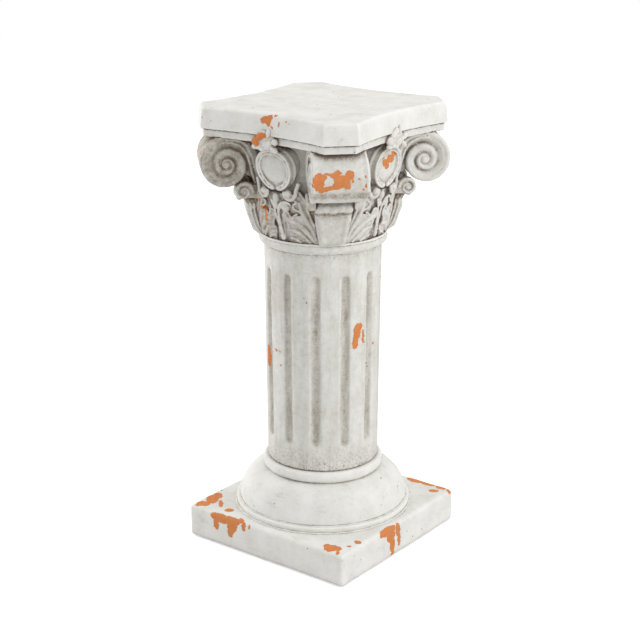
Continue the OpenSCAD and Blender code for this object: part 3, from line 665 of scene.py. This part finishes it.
def scroll_side(share, turn, depth, line):
    """How far the side of a scroll lies below its rim, across one turn from its outer edge (0) to
    the next turn (1). The outer turn has a rounded rim, a fine line and a slope down to the next
    turn; further in it becomes one round roll. depth and line are how deep the slope ends and the
    line is cut."""
    rim = 2.6 * max(0.0, 1 - share / 0.2) ** 2
    fine = line * exp(-((share - 0.42) / 0.06) ** 2)
    slope = min(max((share - 0.38) / 0.57, 0.0), 1.0)
    outer_turn = rim + fine + depth * slope ** 1.5
    roll = 3.4 * max(0.0, 1 - share / 0.4) ** 2 + depth * max(0.0, (share - 0.4) / 0.56) ** 2
    # From the middle of the first turn to near its end, the one passes into the other
    rolled = min(max((turn - 0.45) / 0.4, 0.0), 1.0)
    return outer_turn * (1 - rolled) + min(roll, depth + 1) * rolled


def scroll(centre, half_width, outer, eye, turns, power, first, depth, line, crown):
    """Solid scroll whose axis lies across the corner's plane. centre holds the distance from the
    column's axis and the level; half_width gives half the width at a turn, first is the turn it
    starts at, and crown is how far the strap's edges lie below its middle."""
    # Places of the section's points across a turn, closer together where the side curves more
    shares = [0.0, 0.03, 0.08, 0.16, 0.26, 0.36, 0.42, 0.48, 0.58, 0.7, 0.82, 0.92, 0.98, 1.0]
    rings, points, faces = [], [], []
    step = 1 / 40
    for k in range(int((turns - first) / step) + 1):
        turn = first + k * step
        radius = spiral_radius(turn, outer, eye, turns, power)
        # A turn reaches a little under the next one, and never quite to the centre
        inner = max(spiral_radius(turn + 1, outer, eye, turns, power) - 0.8, 0.3)
        half = half_width(turn)
        side = [(radius + (inner - radius) * s, half - scroll_side(s, turn, depth, line))
                for s in shares]
        strap = [(radius - crown * (y / half) ** 2, y)
                 for y in [half * f for f in (-0.8, -0.5, 0.0, 0.5, 0.8)]]
        section = [(r, -y) for r, y in reversed(side)] + strap + side
        angle = -2 * pi * turn
        rings.append(len(points))
        points += [(centre[0] + r * cos(angle), y, centre[1] + r * sin(angle)) for r, y in section]
    count = len(section)
    for start, following in zip(rings, rings[1:]):
        faces += [(start + j, start + (j + 1) % count, following + (j + 1) % count, following + j)
                  for j in range(count)]
    faces += [tuple(range(rings[0], rings[0] + count)),
              tuple(range(rings[-1] + count - 1, rings[-1] - 1, -1))]
    return mesh_piece("scroll", points, faces)


def corner_block(outline, half_width):
    """Slab on both sides of a corner's plane, from an outline of distances and levels."""
    return prism("block", *([(r, y, z) for r, z in outline] for y in (-half_width, half_width)))


class PedestalOperator:
    """Settings that every step shares."""

    bl_options = {"REGISTER", "UNDO"}

    @property
    def wear(self):
        """Settings of the wear."""
        return bpy.context.scene.pedestal_wear


class PEDESTAL_OT_sections(PedestalOperator, bpy.types.Operator):
    """Wear down the turned and square sections: plinth, base, shaft, bell and abacus"""

    bl_idname = "pedestal.sections"
    bl_label = "Sections"

    # Node, slot, rounds of smoothing, share of the unevenness, and the stone with its look
    SECTIONS = (
        ("plinth", "plinth", 5, 1.4, "Washed cast stone, plinth",
         {"grime_and_shade_gain": 0.3, "stain_and_shade": 0.06, "chips": PLINTH_CHIPS}),
        ("base_fillet", "base", 2, 0.7, "Washed cast stone, fillet",
         {"grime_and_shade_gain": 0.12, "stain_and_shade": 0.08}),
        ("base_ovolo", "base", 2, 1.1, "Washed cast stone, quarter-round",
         {"grime_and_shade_gain": 0.18, "stain_and_shade": 0.04}),
        ("base_ring", "base", 3, 1.1, "Washed cast stone, lower bead",
         {"grime_and_shade_gain": 0.32, "stain_and_shade": 0.05}),
        ("shaft", "shaft", 7, 0.9, "Washed cast stone, shaft",
         {"grime_and_shade_gain": 0.8, "stain_and_shade": 0.22, "chips": SHAFT_CHIPS, "flutes": 0.33}),
        ("neck_ring", "shaft", 3, 1.1, "Washed cast stone, upper bead",
         {"grime_and_shade_gain": 0.6, "stain_and_shade": 0.34}),
        ("capital_bell", "bell", 4, 1.0, "Dirty cast stone, bell",
         {"grime_and_shade_gain": 0.35, "stain_and_shade": 0.25}),
        ("abacus_bed", "abacus", 1, 0.6, "Washed cast stone, bed course",
         {"grime_and_shade_gain": 1.2, "stain_and_shade": 0.2}),
        ("abacus_slab", "abacus", 1, 0.7, "Washed cast stone, slab",
         {"grime_and_shade_gain": 0.8, "stain_and_shade": 0.065, "chips": SLAB_CHIPS}),
    )
    # How much coarser the grid of a large section is, to keep it under 200,000 triangles
    COARSER = {"shaft": 1.12}

    def execute(self, context):
        depth, size = SECTION_WAVES
        for node, slot, rounds, share, label, look in self.SECTIONS:
            piece = casting_copy(node, "cast_" + node)
            piece = fuse([piece], self.wear.section_voxel * self.COARSER.get(node, 1), rounds)
            ripple(piece, self.wear.wave_depth * share, self.wear.wave_size)
            ripple(piece, depth * share, size)
            keep_inside(piece, *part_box(node))
            finish_piece(piece, "cast_" + node, node, cast_stone(label, **look))
        return {"FINISHED"}


class PEDESTAL_OT_joints(PedestalOperator, bpy.types.Operator):
    """Fill the joints of the round mouldings with the wash that ran into them"""

    bl_idname = "pedestal.joints"
    bl_label = "Filled joints"

    # Name, radius and level of the joint's corner, half width and unevenness of the filling, all
    # in millimetres, and slot
    JOINTS = (
        ("plinth", 113.9, 44.4, 1.4, 1.7, "plinth"),
        ("fillet", 109.2, 52.3, 0.95, 1.5, "base"),
        ("neck_foot", 74.6, 397.5, 1.4, 1.8, "shaft"),
        ("neck_top", 79.4, 409.2, 1.5, 1.5, "shaft"),
    )

    def execute(self, context):
        stone = cast_stone("Wash in the joints", 0.5, 0.22)
        for name, radius, level, width, uneven, slot in self.JOINTS:
            bpy.ops.object.select_all(action="DESELECT")
            bpy.ops.mesh.primitive_torus_add(
                major_segments=240, minor_segments=12, major_radius=radius * MM,
                minor_radius=width * MM, location=(0, 0, level * MM))
            bpy.ops.object.transform_apply(location=True, rotation=True, scale=True)
            bead = bpy.context.view_layer.objects.active
            ripple(bead, uneven * MM, 11 * MM)
            finish_piece(bead, "joint_wash_" + name, None, stone)
        return {"FINISHED"}


class PEDESTAL_OT_volutes(PedestalOperator, bpy.types.Operator):
    """Carve the four corner volutes"""

    bl_idname = "pedestal.volutes"
    bl_label = "Corner volutes"

    # Raised edge of the horn, from over the spiral back to the bell: distance from the column's
    # axis, level, and how far it lies in from the spiral's side
    HORN_EDGE = ((122, 532, 2.6), (112, 532, 2.8), (101, 528, 3.0), (93, 518.5, 3.4),
                 (88.5, 505, 3.8), (85.5, 492, 4.6), (80.5, 477, 7.0))

    def execute(self, context):
        # Spiral: width over both sides, radii of its outside and its eye, turns, and how fast it
        # winds in. Then its reach from the column's axis, and its eye's level under the abacus
        width, outer, eye, turns, power = 69.0, 32.0, 4.5, 2.25, 1.4
        reach, drop = 153.5, 33.0
        centre_r, centre_z = reach - outer, BELL_TOP - drop

        def half_width(turn):
            """The strap is widest where the spiral faces outwards, at the top."""
            return width / 2 - 2.2 * min(abs(turn - 0.02) / 0.22, 1.0) ** 2

        def on_rim(turn, inset):
            """Distance and level of a point of the spiral's outside, some way in."""
            radius = spiral_radius(turn, outer, eye, turns, power) - inset
            angle = -2 * pi * turn
            return centre_r + radius * cos(angle), centre_z + radius * sin(angle)

        parts = [scroll((centre_r, centre_z), half_width, outer, eye, turns, power, first=-0.5,
                        depth=6.4, line=1.3, crown=1.6)]
        for side in (1, -1):
            # The spiral ends in a small round knob
            parts.append(ball((centre_r - 0.4, side * (width / 2 - 5.6), centre_z + 0.3),
                              (4.9, 4.4, 4.9)))
            # Two beads run along the horn's edge
            for shift, radius in ((0.0, 2.1), (4.6, 1.7)):
                parts.append(rod([(r + shift, side * (width / 2 - inset), z - shift * 0.8)
                                  for r, z, inset in self.HORN_EDGE],
                                 [radius] * len(self.HORN_EDGE)))
        # The horn's core, from the spiral back to the bell, and the band under its beads
        horn_foot = centre_z - 0.72 * outer
        core = [on_rim(k / 24, 2.5) for k in range(-8, 11)]
        core += [(BELL_TOP_R - 3, horn_foot), (BELL_TOP_R - 3, BELL_TOP)]
        parts.append(corner_block(core, width / 2 - 9))
        band = [(r, z) for r, z, _ in self.HORN_EDGE]
        band += [(r + 4.6, z - 3.7) for r, z in reversed(band)]
        parts.append(corner_block(band, width / 2 - 5.2))
        piece = fuse(parts, self.wear.carving_voxel * 1.05, rounds=2)
        keep_under_abacus(piece)
        stone = cast_stone("Washed cast stone, volutes", 0.9, 0.24)
        # The near volute is the most rubbed one, with the most dirt and painted shade in its
        # hollows and a belt of dirt and painted shade across it, and the left one keeps the most
        # dark wash, which there stands for painted shade as well
        special = {
            "volute_front_right": cast_stone("Rubbed cast stone, near volute", 1.3, 0.32,
                                             STRAP_CHIPS, STRAP_KEPT, band=(486, 6, 0.45)),
            "volute_front_left": cast_stone("Cast stone with dark wash and painted shade, left volute", 0.9, 0.86,
                                            LEFT_VOLUTE_CHIPS),
        }
        spread(piece, "volute", CORNER_TURNS, stone, special)
        return {"FINISHED"}


class PEDESTAL_OT_helices(PedestalOperator, bpy.types.Operator):
    """Carve the eight small scrolls under the volutes"""

    bl_idname = "pedestal.helices"
    bl_label = "Small scrolls"

    def execute(self, context):
        # Spiral as for the volutes, its eye's place, and its two sides' distances from the
        # corner's plane
        outer, eye, turns, power = 10.5, 3.3, 1.2, 1.1
        centre_r, centre_z = 101.0, 467.5
        side_in, side_out = 23.0, 34.2
        half = (side_out - side_in) / 2
        spiral = scroll((centre_r, centre_z), lambda turn: half, outer, eye, turns, power,
                        first=-0.5, depth=4.8, line=0.0, crown=2.2)
        root = corner_block([(r, centre_z + rise) for r, rise in (
            (BELL_TOP_R - 3, -8), (centre_r, -8), (centre_r, 8), (BELL_TOP_R - 3, 8))], half - 2)
        knobs = [ball((centre_r - 0.3, side * (half - 2.4), centre_z), (3.3, 2.8, 3.3))
                 for side in (1, -1)]
        piece = fuse([spiral, root] + knobs, self.wear.carving_voxel, rounds=2)
        # From a corner's plane to the front's right-hand half
        piece.data.transform(Matrix.Translation((0, -(side_in + side_out) / 2 * MM, 0)))
        piece.data.transform(Matrix.Rotation(radians(-45), 4, "Z"))
        stone = cast_stone("Washed cast stone, small scrolls", 1.0, 0.42)
        # The two scrolls on the front and the right one on the left face are darker: dark wash and
        # painted shade
        darker_stone = cast_stone("Cast stone with dark wash and painted shade, small scrolls", 1.0, 0.8)
        spread(piece, "helix", FACE_TURNS, stone, paired=True, special={
            "helix_front_l": darker_stone, "helix_front_r": darker_stone, "helix_left_r": darker_stone})
        return {"FINISHED"}


class PEDESTAL_OT_leaves(PedestalOperator, bpy.types.Operator):
    """Carve the four corner leaves"""

    bl_idname = "pedestal.leaves"
    bl_label = "Corner leaves"

    # Edge of the leaf's plain panel: distance from the column's axis, half width and level
    EDGE = ((81.5, 11.6, 410.5), (87.6, 12.8, 418), (92.2, 14.8, 430), (95.0, 16.6, 441),
            (96.0, 17.8, 451), (99.0, 18.6, 456))
    # Ribs along the panel and along the flanks behind it: how far inward from that edge and how
    # far behind it they lie, and their radius
    RIBS = ((0.0, 0.0, 1.5), (4.2, 0.0, 1.2), (-2.9, 3.5, 1.5), (-3.0, 8.0, 1.6),
            (-3.0, 12.5, 1.6))
    # Lumps of the rolled tip: distance from the axis, place across, level and size
    TIP = ((104.5, -17.5, 459.5, 5.6), (106.6, -10.5, 461.0, 5.2), (107.0, -2.0, 460.2, 5.9),
           (106.8, 7.0, 461.2, 5.4), (105.6, 15.0, 459.6, 5.8), (102.0, 19.0, 463.5, 4.4))

    def execute(self, context):
        body = casting_copy("leaf_front_right", "leaf")
        body.data.transform(Matrix.Rotation(radians(45), 4, "Z"))
        parts = [fuse([body], self.wear.carving_voxel * 1.1, rounds=9)]
        for side in (1, -1):
            for inward, behind, radius in self.RIBS:
                parts.append(rod([(r - behind, side * (half - inward), z)
                                  for r, half, z in self.EDGE], [radius] * len(self.EDGE)))
        for r, y, z, size in self.TIP:
            parts.append(ball((r, y, z), (size * 0.8, size * 1.15, size)))
        piece = fuse(parts, self.wear.carving_voxel, rounds=2)
        # A belt of dirt and painted shadow lies under the rolled tip
        stone = cast_stone("Washed cast stone, corner leaves", 1.0, 0.36, band=(453.5, 4, 0.75))
        spread(piece, "leaf", CORNER_TURNS, stone)
        return {"FINISHED"}


class PEDESTAL_OT_sprays(PedestalOperator, bpy.types.Operator):
    """Carve the eight acanthus sprays and the four stems between them"""

    bl_idname = "pedestal.sprays"
    bl_label = "Acanthus and stems"

    # Edges of the lobes on the right-hand half of a face: angle from its middle in degrees, and
    # level in millimetres
    UPPER_LOBE = ((18, 477), (14.7, 472.2), (14.9, 466.6), (16.3, 463.3), (13.9, 460.2),
                  (13.7, 456.6), (15.5, 454.1), (17.9, 452.3), (21.1, 448.5))
    UPPER_BACK = ((18, 477), (21.1, 471.6), (24.3, 464.9), (25.1, 456.6), (26.5, 446.9),
                  (30.8, 430.2), (34.8, 416.2), (36, FOOT_Z))
    LOWER_LOBE = ((21.1, 448), (17.9, 446.5), (13.9, 444.5), (11.3, 442.7), (9.8, 446.6),
                  (7.7, 451.2), (3.9, 445.5), (4.4, 441.4), (7.1, 436.9), (8.2, 429.3))
    FOOT_LOBE = ((8.2, 429.3), (6.1, 427.8), (7.6, 419.6), (8.2, 415.4), (10, FOOT_Z))

    def execute(self, context):
        stone = cast_stone("Washed cast stone, acanthus", 0.7, 0.34)
        # The two front sprays are darker copies of the same stone
        chipped = cast_stone("Chipped cast stone, left acanthus", 0.85, 0.75, LEFT_LEAF_CHIPS)
        darker_stone = cast_stone("Darker cast stone, front acanthus", 0.8, 0.6)
        # Plates that carry the ribs: three lobes, the side at the corner leaf, and the ground
        # between the lobes
        upper = plate(self.UPPER_BACK[::-1] + self.UPPER_LOBE[1:]
                      + ((24, 440), (28.5, 427), (32, FOOT_Z)), sink=2.3)
        lower = plate(self.LOWER_LOBE + ((11, 427), (20, 422), (28, FOOT_Z), (34, FOOT_Z),
                                         (29, 427), (25, 439)), sink=1.4)
        foot = plate(((12, 431),) + self.FOOT_LOBE + ((30, FOOT_Z), (22, 424)), sink=2.2)
        side = plate(((36, FOOT_Z), (34.8, 416.2), (30.8, 430.2), (26.5, 446.9), (25.1, 456.6),
                      (24.3, 466), (33, 466), (38, 440), (40, FOOT_Z)), sink=4.0)
        between = plate(((9.5, 452), (11, 432), (24, 425), (27, 445), (24, 468), (16, 474)),
                        sink=4.0)
        # Ribs: path, radii, and height over the carving's front. Two lumps lie outside them
        ribs = [
            stroke(self.UPPER_LOBE, 1.4, -1.3),
            stroke(((18, 477), (21.1, 471.6), (24.3, 464.9), (25.1, 456.6), (26.8, 446.9),
                    (31, 430.2), (35, 411)), 1.9, -2.2),
            stroke(((18.6, 464), (21.0, 450), (24.2, 440), (28.8, 428), (33.2, 411)),
                   (1.8, 2.9, 3.6, 3.4, 2.6), -2.4),
            stroke(self.LOWER_LOBE[2:], 1.4, -0.9),
            stroke(((4.6, 445.8), (9.5, 440), (14.8, 437), (20, 431.5), (25.2, 423.5), (31, 411)),
                   (2.2, 3.4, 4.0, 4.0, 3.5, 2.4), -2.2),
            stroke(((11.3, 442.7), (14.2, 446.6), (17, 449)), 1.4, -1.5),
            stroke(((6.1, 427.8), (10, 427.3), (14.9, 425.6), (20.1, 420.5), (26.4, 411)),
                   (1.9, 2.8, 3.3, 3.0, 2.2), -2.0),
            stroke(((7.8, 416.6), (12.5, 415.8), (18, 411)), 2.2, -2.2),
            ball(flat(31.5, 460, -2.6), (4.2, 3.2, 4.6)),
            ball(flat(33, 447.5, -2.4), (3.6, 3.0, 4.4)),
        ]
        spray = fuse([upper, lower, foot, side, between] + ribs, self.wear.carving_voxel * 0.9,
                     rounds=3)
        wrap_round_bell(spray)
        spread(spray, "acanthus", FACE_TURNS, stone, paired=True, special={
            "acanthus_front_l": chipped, "acanthus_front_r": darker_stone})
        self.carve_stems(stone)
        return {"FINISHED"}

    def carve_stems(self, stone):
        """Stem under each cartouche, with a hooded petal and an arm that hooks to each side."""
        parts = [
            # Ground between the sprays
            plate(((-14, 472), (-12, 455), (-10, 440), (-9, 425), (-8.5, FOOT_Z), (8.5, FOOT_Z),
                   (9, 425), (10, 440), (12, 455), (14, 472)), sink=5.0),
            # Thin stem whose right-hand petal bends over like a hood
            plate(((-5.8, 464), (-3.8, 452), (-2.9, 441), (-2.4, 430), (-3, 418), (-2.6, FOOT_Z),
                   (2.6, FOOT_Z), (2.4, 424), (2.6, 434), (4.6, 444), (7.4, 452), (11, 456.6),
                   (11.5, 460.5), (8.8, 463.4), (3, 460.5), (1.5, 465), (1.8, 470), (-1.4, 473),
                   (-4.2, 469)), sink=3.4),
            ball(flat(-1.4, 466.5, -2.4), (4.6, 3.6, 6.0)),
            ball(flat(-2.6, 458.5, -3.0), (3.8, 3.4, 7.0)),
            ball(flat(0.2, 417.0, -2.8), (4.0, 3.6, 5.4)),
            ball(flat(6.0, 456, -2.5), (6.6, 3.4, 5.6), 35),
            stroke(((-5.9, 463.5), (-4.0, 453), (-3.0, 442), (-2.0, 433), (-1.4, 421)), 1.5, -1.2),
            stroke(((1.0, 421), (-0.1, 433), (-0.3, 442), (0.4, 452), (2.8, 458.8), (6, 461.6),
                    (9.4, 462.3), (11.6, 459.4)), (1.5, 1.5, 1.6, 1.9, 2.2, 2.3, 2.1, 1.5), -0.9),
        ]
        # Arms that hook round a small ball and run up to the volutes, and what carries them
        hook = ((7.4, 476.5), (7.7, 471.5), (10.0, 467.6), (13.6, 467.4), (16.4, 472.5),
                (17.6, 480), (19.4, 488))
        carrier = ((12, 470), (15, 473), (17.5, 481), (19.4, 488))
        for side in (-1, 1):
            parts += [
                stroke([(side * a, z) for a, z in hook], (1.6, 2.0, 2.3, 2.4, 2.4, 2.4, 2.4), 1.3),
                ball(flat(side * 11.2, 474.4, 1.2), (4.4, 4.4, 4.4)),
                stroke([(side * a, z) for a, z in carrier], 2.8, -4.5),
            ]
        stem = fuse(parts, self.wear.carving_voxel * 0.9, rounds=2)
        wrap_round_bell(stem)
        spread(stem, "stem", FACE_TURNS, stone)


def egg(size, angle):
    """Point of an egg-shaped outline, broad end up, in the plane of the front."""
    return Vector((size / 2 * cos(angle) * (1 + 0.1 * sin(angle)), 0, size / 2 * sin(angle)))


class PEDESTAL_OT_cartouches(PedestalOperator, bpy.types.Operator):
    """Carve the four oval cartouches"""

    bl_idname = "pedestal.cartouches"
    bl_label = "Cartouches"

    def execute(self, context):
        # Diameter of the oval, its front's distance from the bell, its lean in degrees, its level,
        # and the width of its frame
        size, out, lean, level, frame_width = 53.0, 17.0, 10.0, 501.0, 7.2
        # The frame is open for a little way at the foot
        gap = radians(15)
        open_ring = [gap - pi / 2 + 2 * (pi - gap) * k / 28 for k in range(29)]

        def oval(inset, depth, angles):
            """Points of the outline, some way in from it and behind the front."""
            return [egg(size - 2 * inset, angle) + Vector((0, depth, 0)) for angle in angles]

        whole_ring = [2 * pi * k / 40 for k in range(40)]
        parts = [prism("body", oval(1.25, 3.4, whole_ring), oval(1.25, out + 14, whole_ring))]
        # The frame is two ridges with a shallow groove between them, on a thick roll, and its ends
        # curl in. How far in and behind the front each ring lies, and its radius
        for inset, depth, radius in ((1.7, 1.9, 1.8), (frame_width - 1.4, 2.0, 1.25),
                                     (frame_width / 2, 5.0, 2.9), (0.6, 10.0, 2.0)):
            points = oval(inset, depth, open_ring)
            parts.append(rod(points, [radius] * len(points)))
        for side in (1, -1):
            parts.append(ball((side * 4.6, 1.8, 4.4 - size / 2), (3.4, 2.6, 3.2), side * -30))
        boss = size / 2 - frame_width - 0.4
        parts.append(ball((0, 5.6, 0), (boss, 5.6, boss)))
        piece = fuse(parts, self.wear.carving_voxel, rounds=2)
        place = Matrix.Translation(Vector((0, -(BELL_TOP_R + out), level)) * MM)
        piece.data.transform(place @ Matrix.Rotation(radians(lean), 4, "X"))
        keep_under_abacus(piece)
        stone = cast_stone("Washed cast stone, cartouches", 1.0, 0.2)
        chipped = cast_stone("Chipped cast stone, right cartouche", 1.0, 0.2, CARTOUCHE_CHIPS)
        spread(piece, "cartouche", FACE_TURNS, stone, {"cartouche_right": chipped})
        return {"FINISHED"}


class PEDESTAL_OT_flowers(PedestalOperator, bpy.types.Operator):
    """Carve the four flowers that lap over the abacus"""

    bl_idname = "pedestal.flowers"
    bl_label = "Flowers"

    def execute(self, context):
        # Distance of the slab's side from the axis, and the flower's level
        seat, level = 107.5, 540.0
        # Petals: place across and up, half length, half width, tilt in degrees, half thickness
        petals = (
            (-6.6, 4.6, 9.0, 4.9, 34, 4.4), (-15.6, -4.0, 5.8, 5.2, -35, 4.2),
            (-17.0, -10.2, 4.4, 2.9, -10, 3.2), (4.0, 7.6, 6.0, 3.6, 72, 3.4),
            (13.6, -1.6, 4.3, 4.1, 0, 4.2), (7.0, -3.4, 3.6, 3.6, 0, 4.8),
            (11.8, -10.6, 6.2, 3.6, -40, 4.0), (-5.0, -11.4, 3.1, 3.0, 0, 5.2),
            (1.4, -6.4, 7.6, 5.6, 20, 3.8), (-9.6, -9.4, 4.6, 3.4, 25, 3.8),
        )
        parts = [ball((x, -(seat + 3.2), level + z), (length, depth, breadth), -tilt)
                 for x, z, length, breadth, tilt, depth in petals]
        parts.append(ball((-1.5, -(seat + 1.2), level - 2.5), (15.5, 3.6, 10.5)))
        piece = fuse(parts, self.wear.carving_voxel * 0.85, rounds=1)
        stone = cast_stone("Washed cast stone, flowers", 1.1, 0.2)
        chipped = cast_stone("Chipped cast stone, front flower", 1.1, 0.2, FLOWER_CHIPS)
        spread(piece, "fleuron", FACE_TURNS, stone, {"fleuron_front": chipped})
        return {"FINISHED"}


class PEDESTAL_OT_stage(PedestalOperator, bpy.types.Operator):
    """Set up the floor, the white room, the lamps and the camera"""

    bl_idname = "pedestal.stage"
    bl_label = "Stage"

    # Lamps: name, place and size in metres, and share of the key light's power
    LAMPS = (
        ("key lamp", (1.9, 0.2, 1.15), 1.0, 1.0),
        ("top lamp", (0.5, 0.2, 2.2), 1.4, 0.42),
        ("left lamp", (-2.1, -0.15, 0.7), 1.2, 1.75),
    )
    # What the lamps are turned to
    LIT = (0, 0, 0.3)

    def execute(self, context):
        stage = context.scene.pedestal_stage
        self.lay_floor()
        self.light_room(context.scene, stage)
        self.place_camera(context.scene, stage)
        context.scene.view_settings.view_transform = "Standard"
        return {"FINISHED"}

    def lay_floor(self):
        """Pale floor, white to the camera apart from the object's soft shadow. It lies just under
        the stand, so that the two faces don't fall together."""
        bpy.ops.object.select_all(action="DESELECT")
        bpy.ops.mesh.primitive_plane_add(size=8)
        floor = bpy.context.view_layer.objects.active
        floor.name = "floor"
        floor.location.z = -0.3 * MM
        material = bpy.data.materials.new("White paper floor")
        material.use_nodes = True
        tree = material.node_tree
        tree.nodes.clear()
        paper = add_node(tree, "BsdfDiffuse", {"Color": linear("#E8E8E8")})
        lift = add_node(tree, "Math", (seen_directly(tree), 0.42), operation="MULTIPLY")
        glow = add_node(tree, "Emission", {"Color": (1, 1, 1, 1), "Strength": lift})
        add_node(tree, "OutputMaterial", {"Surface": add_node(tree, "AddShader", (paper, glow))})
        floor.data.materials.append(material)

    def light_room(self, scene, stage):
        """Even light from all round, white where the camera sees it, and lamps at the sides."""
        world = bpy.data.worlds.new("White room")
        world.use_nodes = True
        tree = world.node_tree
        tree.nodes.clear()
        strength = add_node(tree, "MapRange", (seen_directly(tree), 0.0, 1.0, stage.sky, 1.0))
        room = add_node(tree, "Background", {"Color": (1, 1, 1, 1), "Strength": strength})
        add_node(tree, "OutputWorld", {"Surface": room})
        scene.world = world
        for name, spot, size, share in self.LAMPS:
            lamp = bpy.data.lights.new(name, "AREA")
            lamp.size = size
            lamp.energy = stage.key_power * share
            holder = new_piece(name, lamp)
            holder.location = spot
            aim = Vector(self.LIT) - Vector(spot)
            holder.rotation_euler = aim.to_track_quat("-Z", "Y").to_euler()

    def place_camera(self, scene, stage):
        """Camera at the photograph's angle, for a square picture of 640 pixels."""
        camera = bpy.data.cameras.new("camera")
        camera.sensor_width = 36
        camera.lens = stage.lens_px / 640 * camera.sensor_width
        az, el = stage.azimuth, stage.elevation
        right = Vector((cos(az), sin(az), 0))
        back = Vector((sin(az) * cos(el), -cos(az) * cos(el), sin(el)))
        up = back.cross(right)
        place = Matrix((right, up, back)).transposed().to_4x4()
        place.translation = (Vector((0, 0, stage.aim_height)) + right * stage.aim_side
                             + back * stage.distance)
        holder = new_piece("camera", camera)
        holder.matrix_world = place
        scene.camera = holder


STEPS = (
    PEDESTAL_OT_stage, PEDESTAL_OT_sections, PEDESTAL_OT_joints, PEDESTAL_OT_volutes,
    PEDESTAL_OT_helices, PEDESTAL_OT_leaves, PEDESTAL_OT_sprays, PEDESTAL_OT_cartouches,
    PEDESTAL_OT_flowers,
)


class PEDESTAL_PT_panel(bpy.types.Panel):
    """Lists the steps that build the pedestal."""

    bl_label = "Cast Stone Pedestal"
    bl_idname = "PEDESTAL_PT_panel"
    bl_space_type = "VIEW_3D"
    bl_region_type = "UI"
    bl_category = "Pedestal"

    def draw(self, context):
        for step in STEPS:
            self.layout.operator(step.bl_idname)
        for group in GROUPS:
            box = self.layout.box()
            settings = getattr(context.scene, group)
            for name in settings.bl_rna.properties.keys():
                if name not in {"rna_type", "name"}:
                    box.prop(settings, name)


# Names of the settings on the scene
GROUPS = {
    "pedestal_wear": PedestalWear,
    "pedestal_finish": PedestalFinish,
    "pedestal_stage": PedestalStage,
}
CLASSES = (*GROUPS.values(), *STEPS, PEDESTAL_PT_panel)


def register():
    """Adds the classes and their settings."""
    for cls in CLASSES:
        bpy.utils.register_class(cls)
    for name, group in GROUPS.items():
        setattr(bpy.types.Scene, name, PointerProperty(type=group))


def unregister():
    """Takes the classes and their settings away again."""
    for name in GROUPS:
        delattr(bpy.types.Scene, name)
    for cls in reversed(CLASSES):
        bpy.utils.unregister_class(cls)


def main():
    """Builds the whole scene."""
    register()
    for step in STEPS:
        family, action = step.bl_idname.split(".")
        getattr(getattr(bpy.ops, family), action)()


if __name__ == "__main__":
    main()
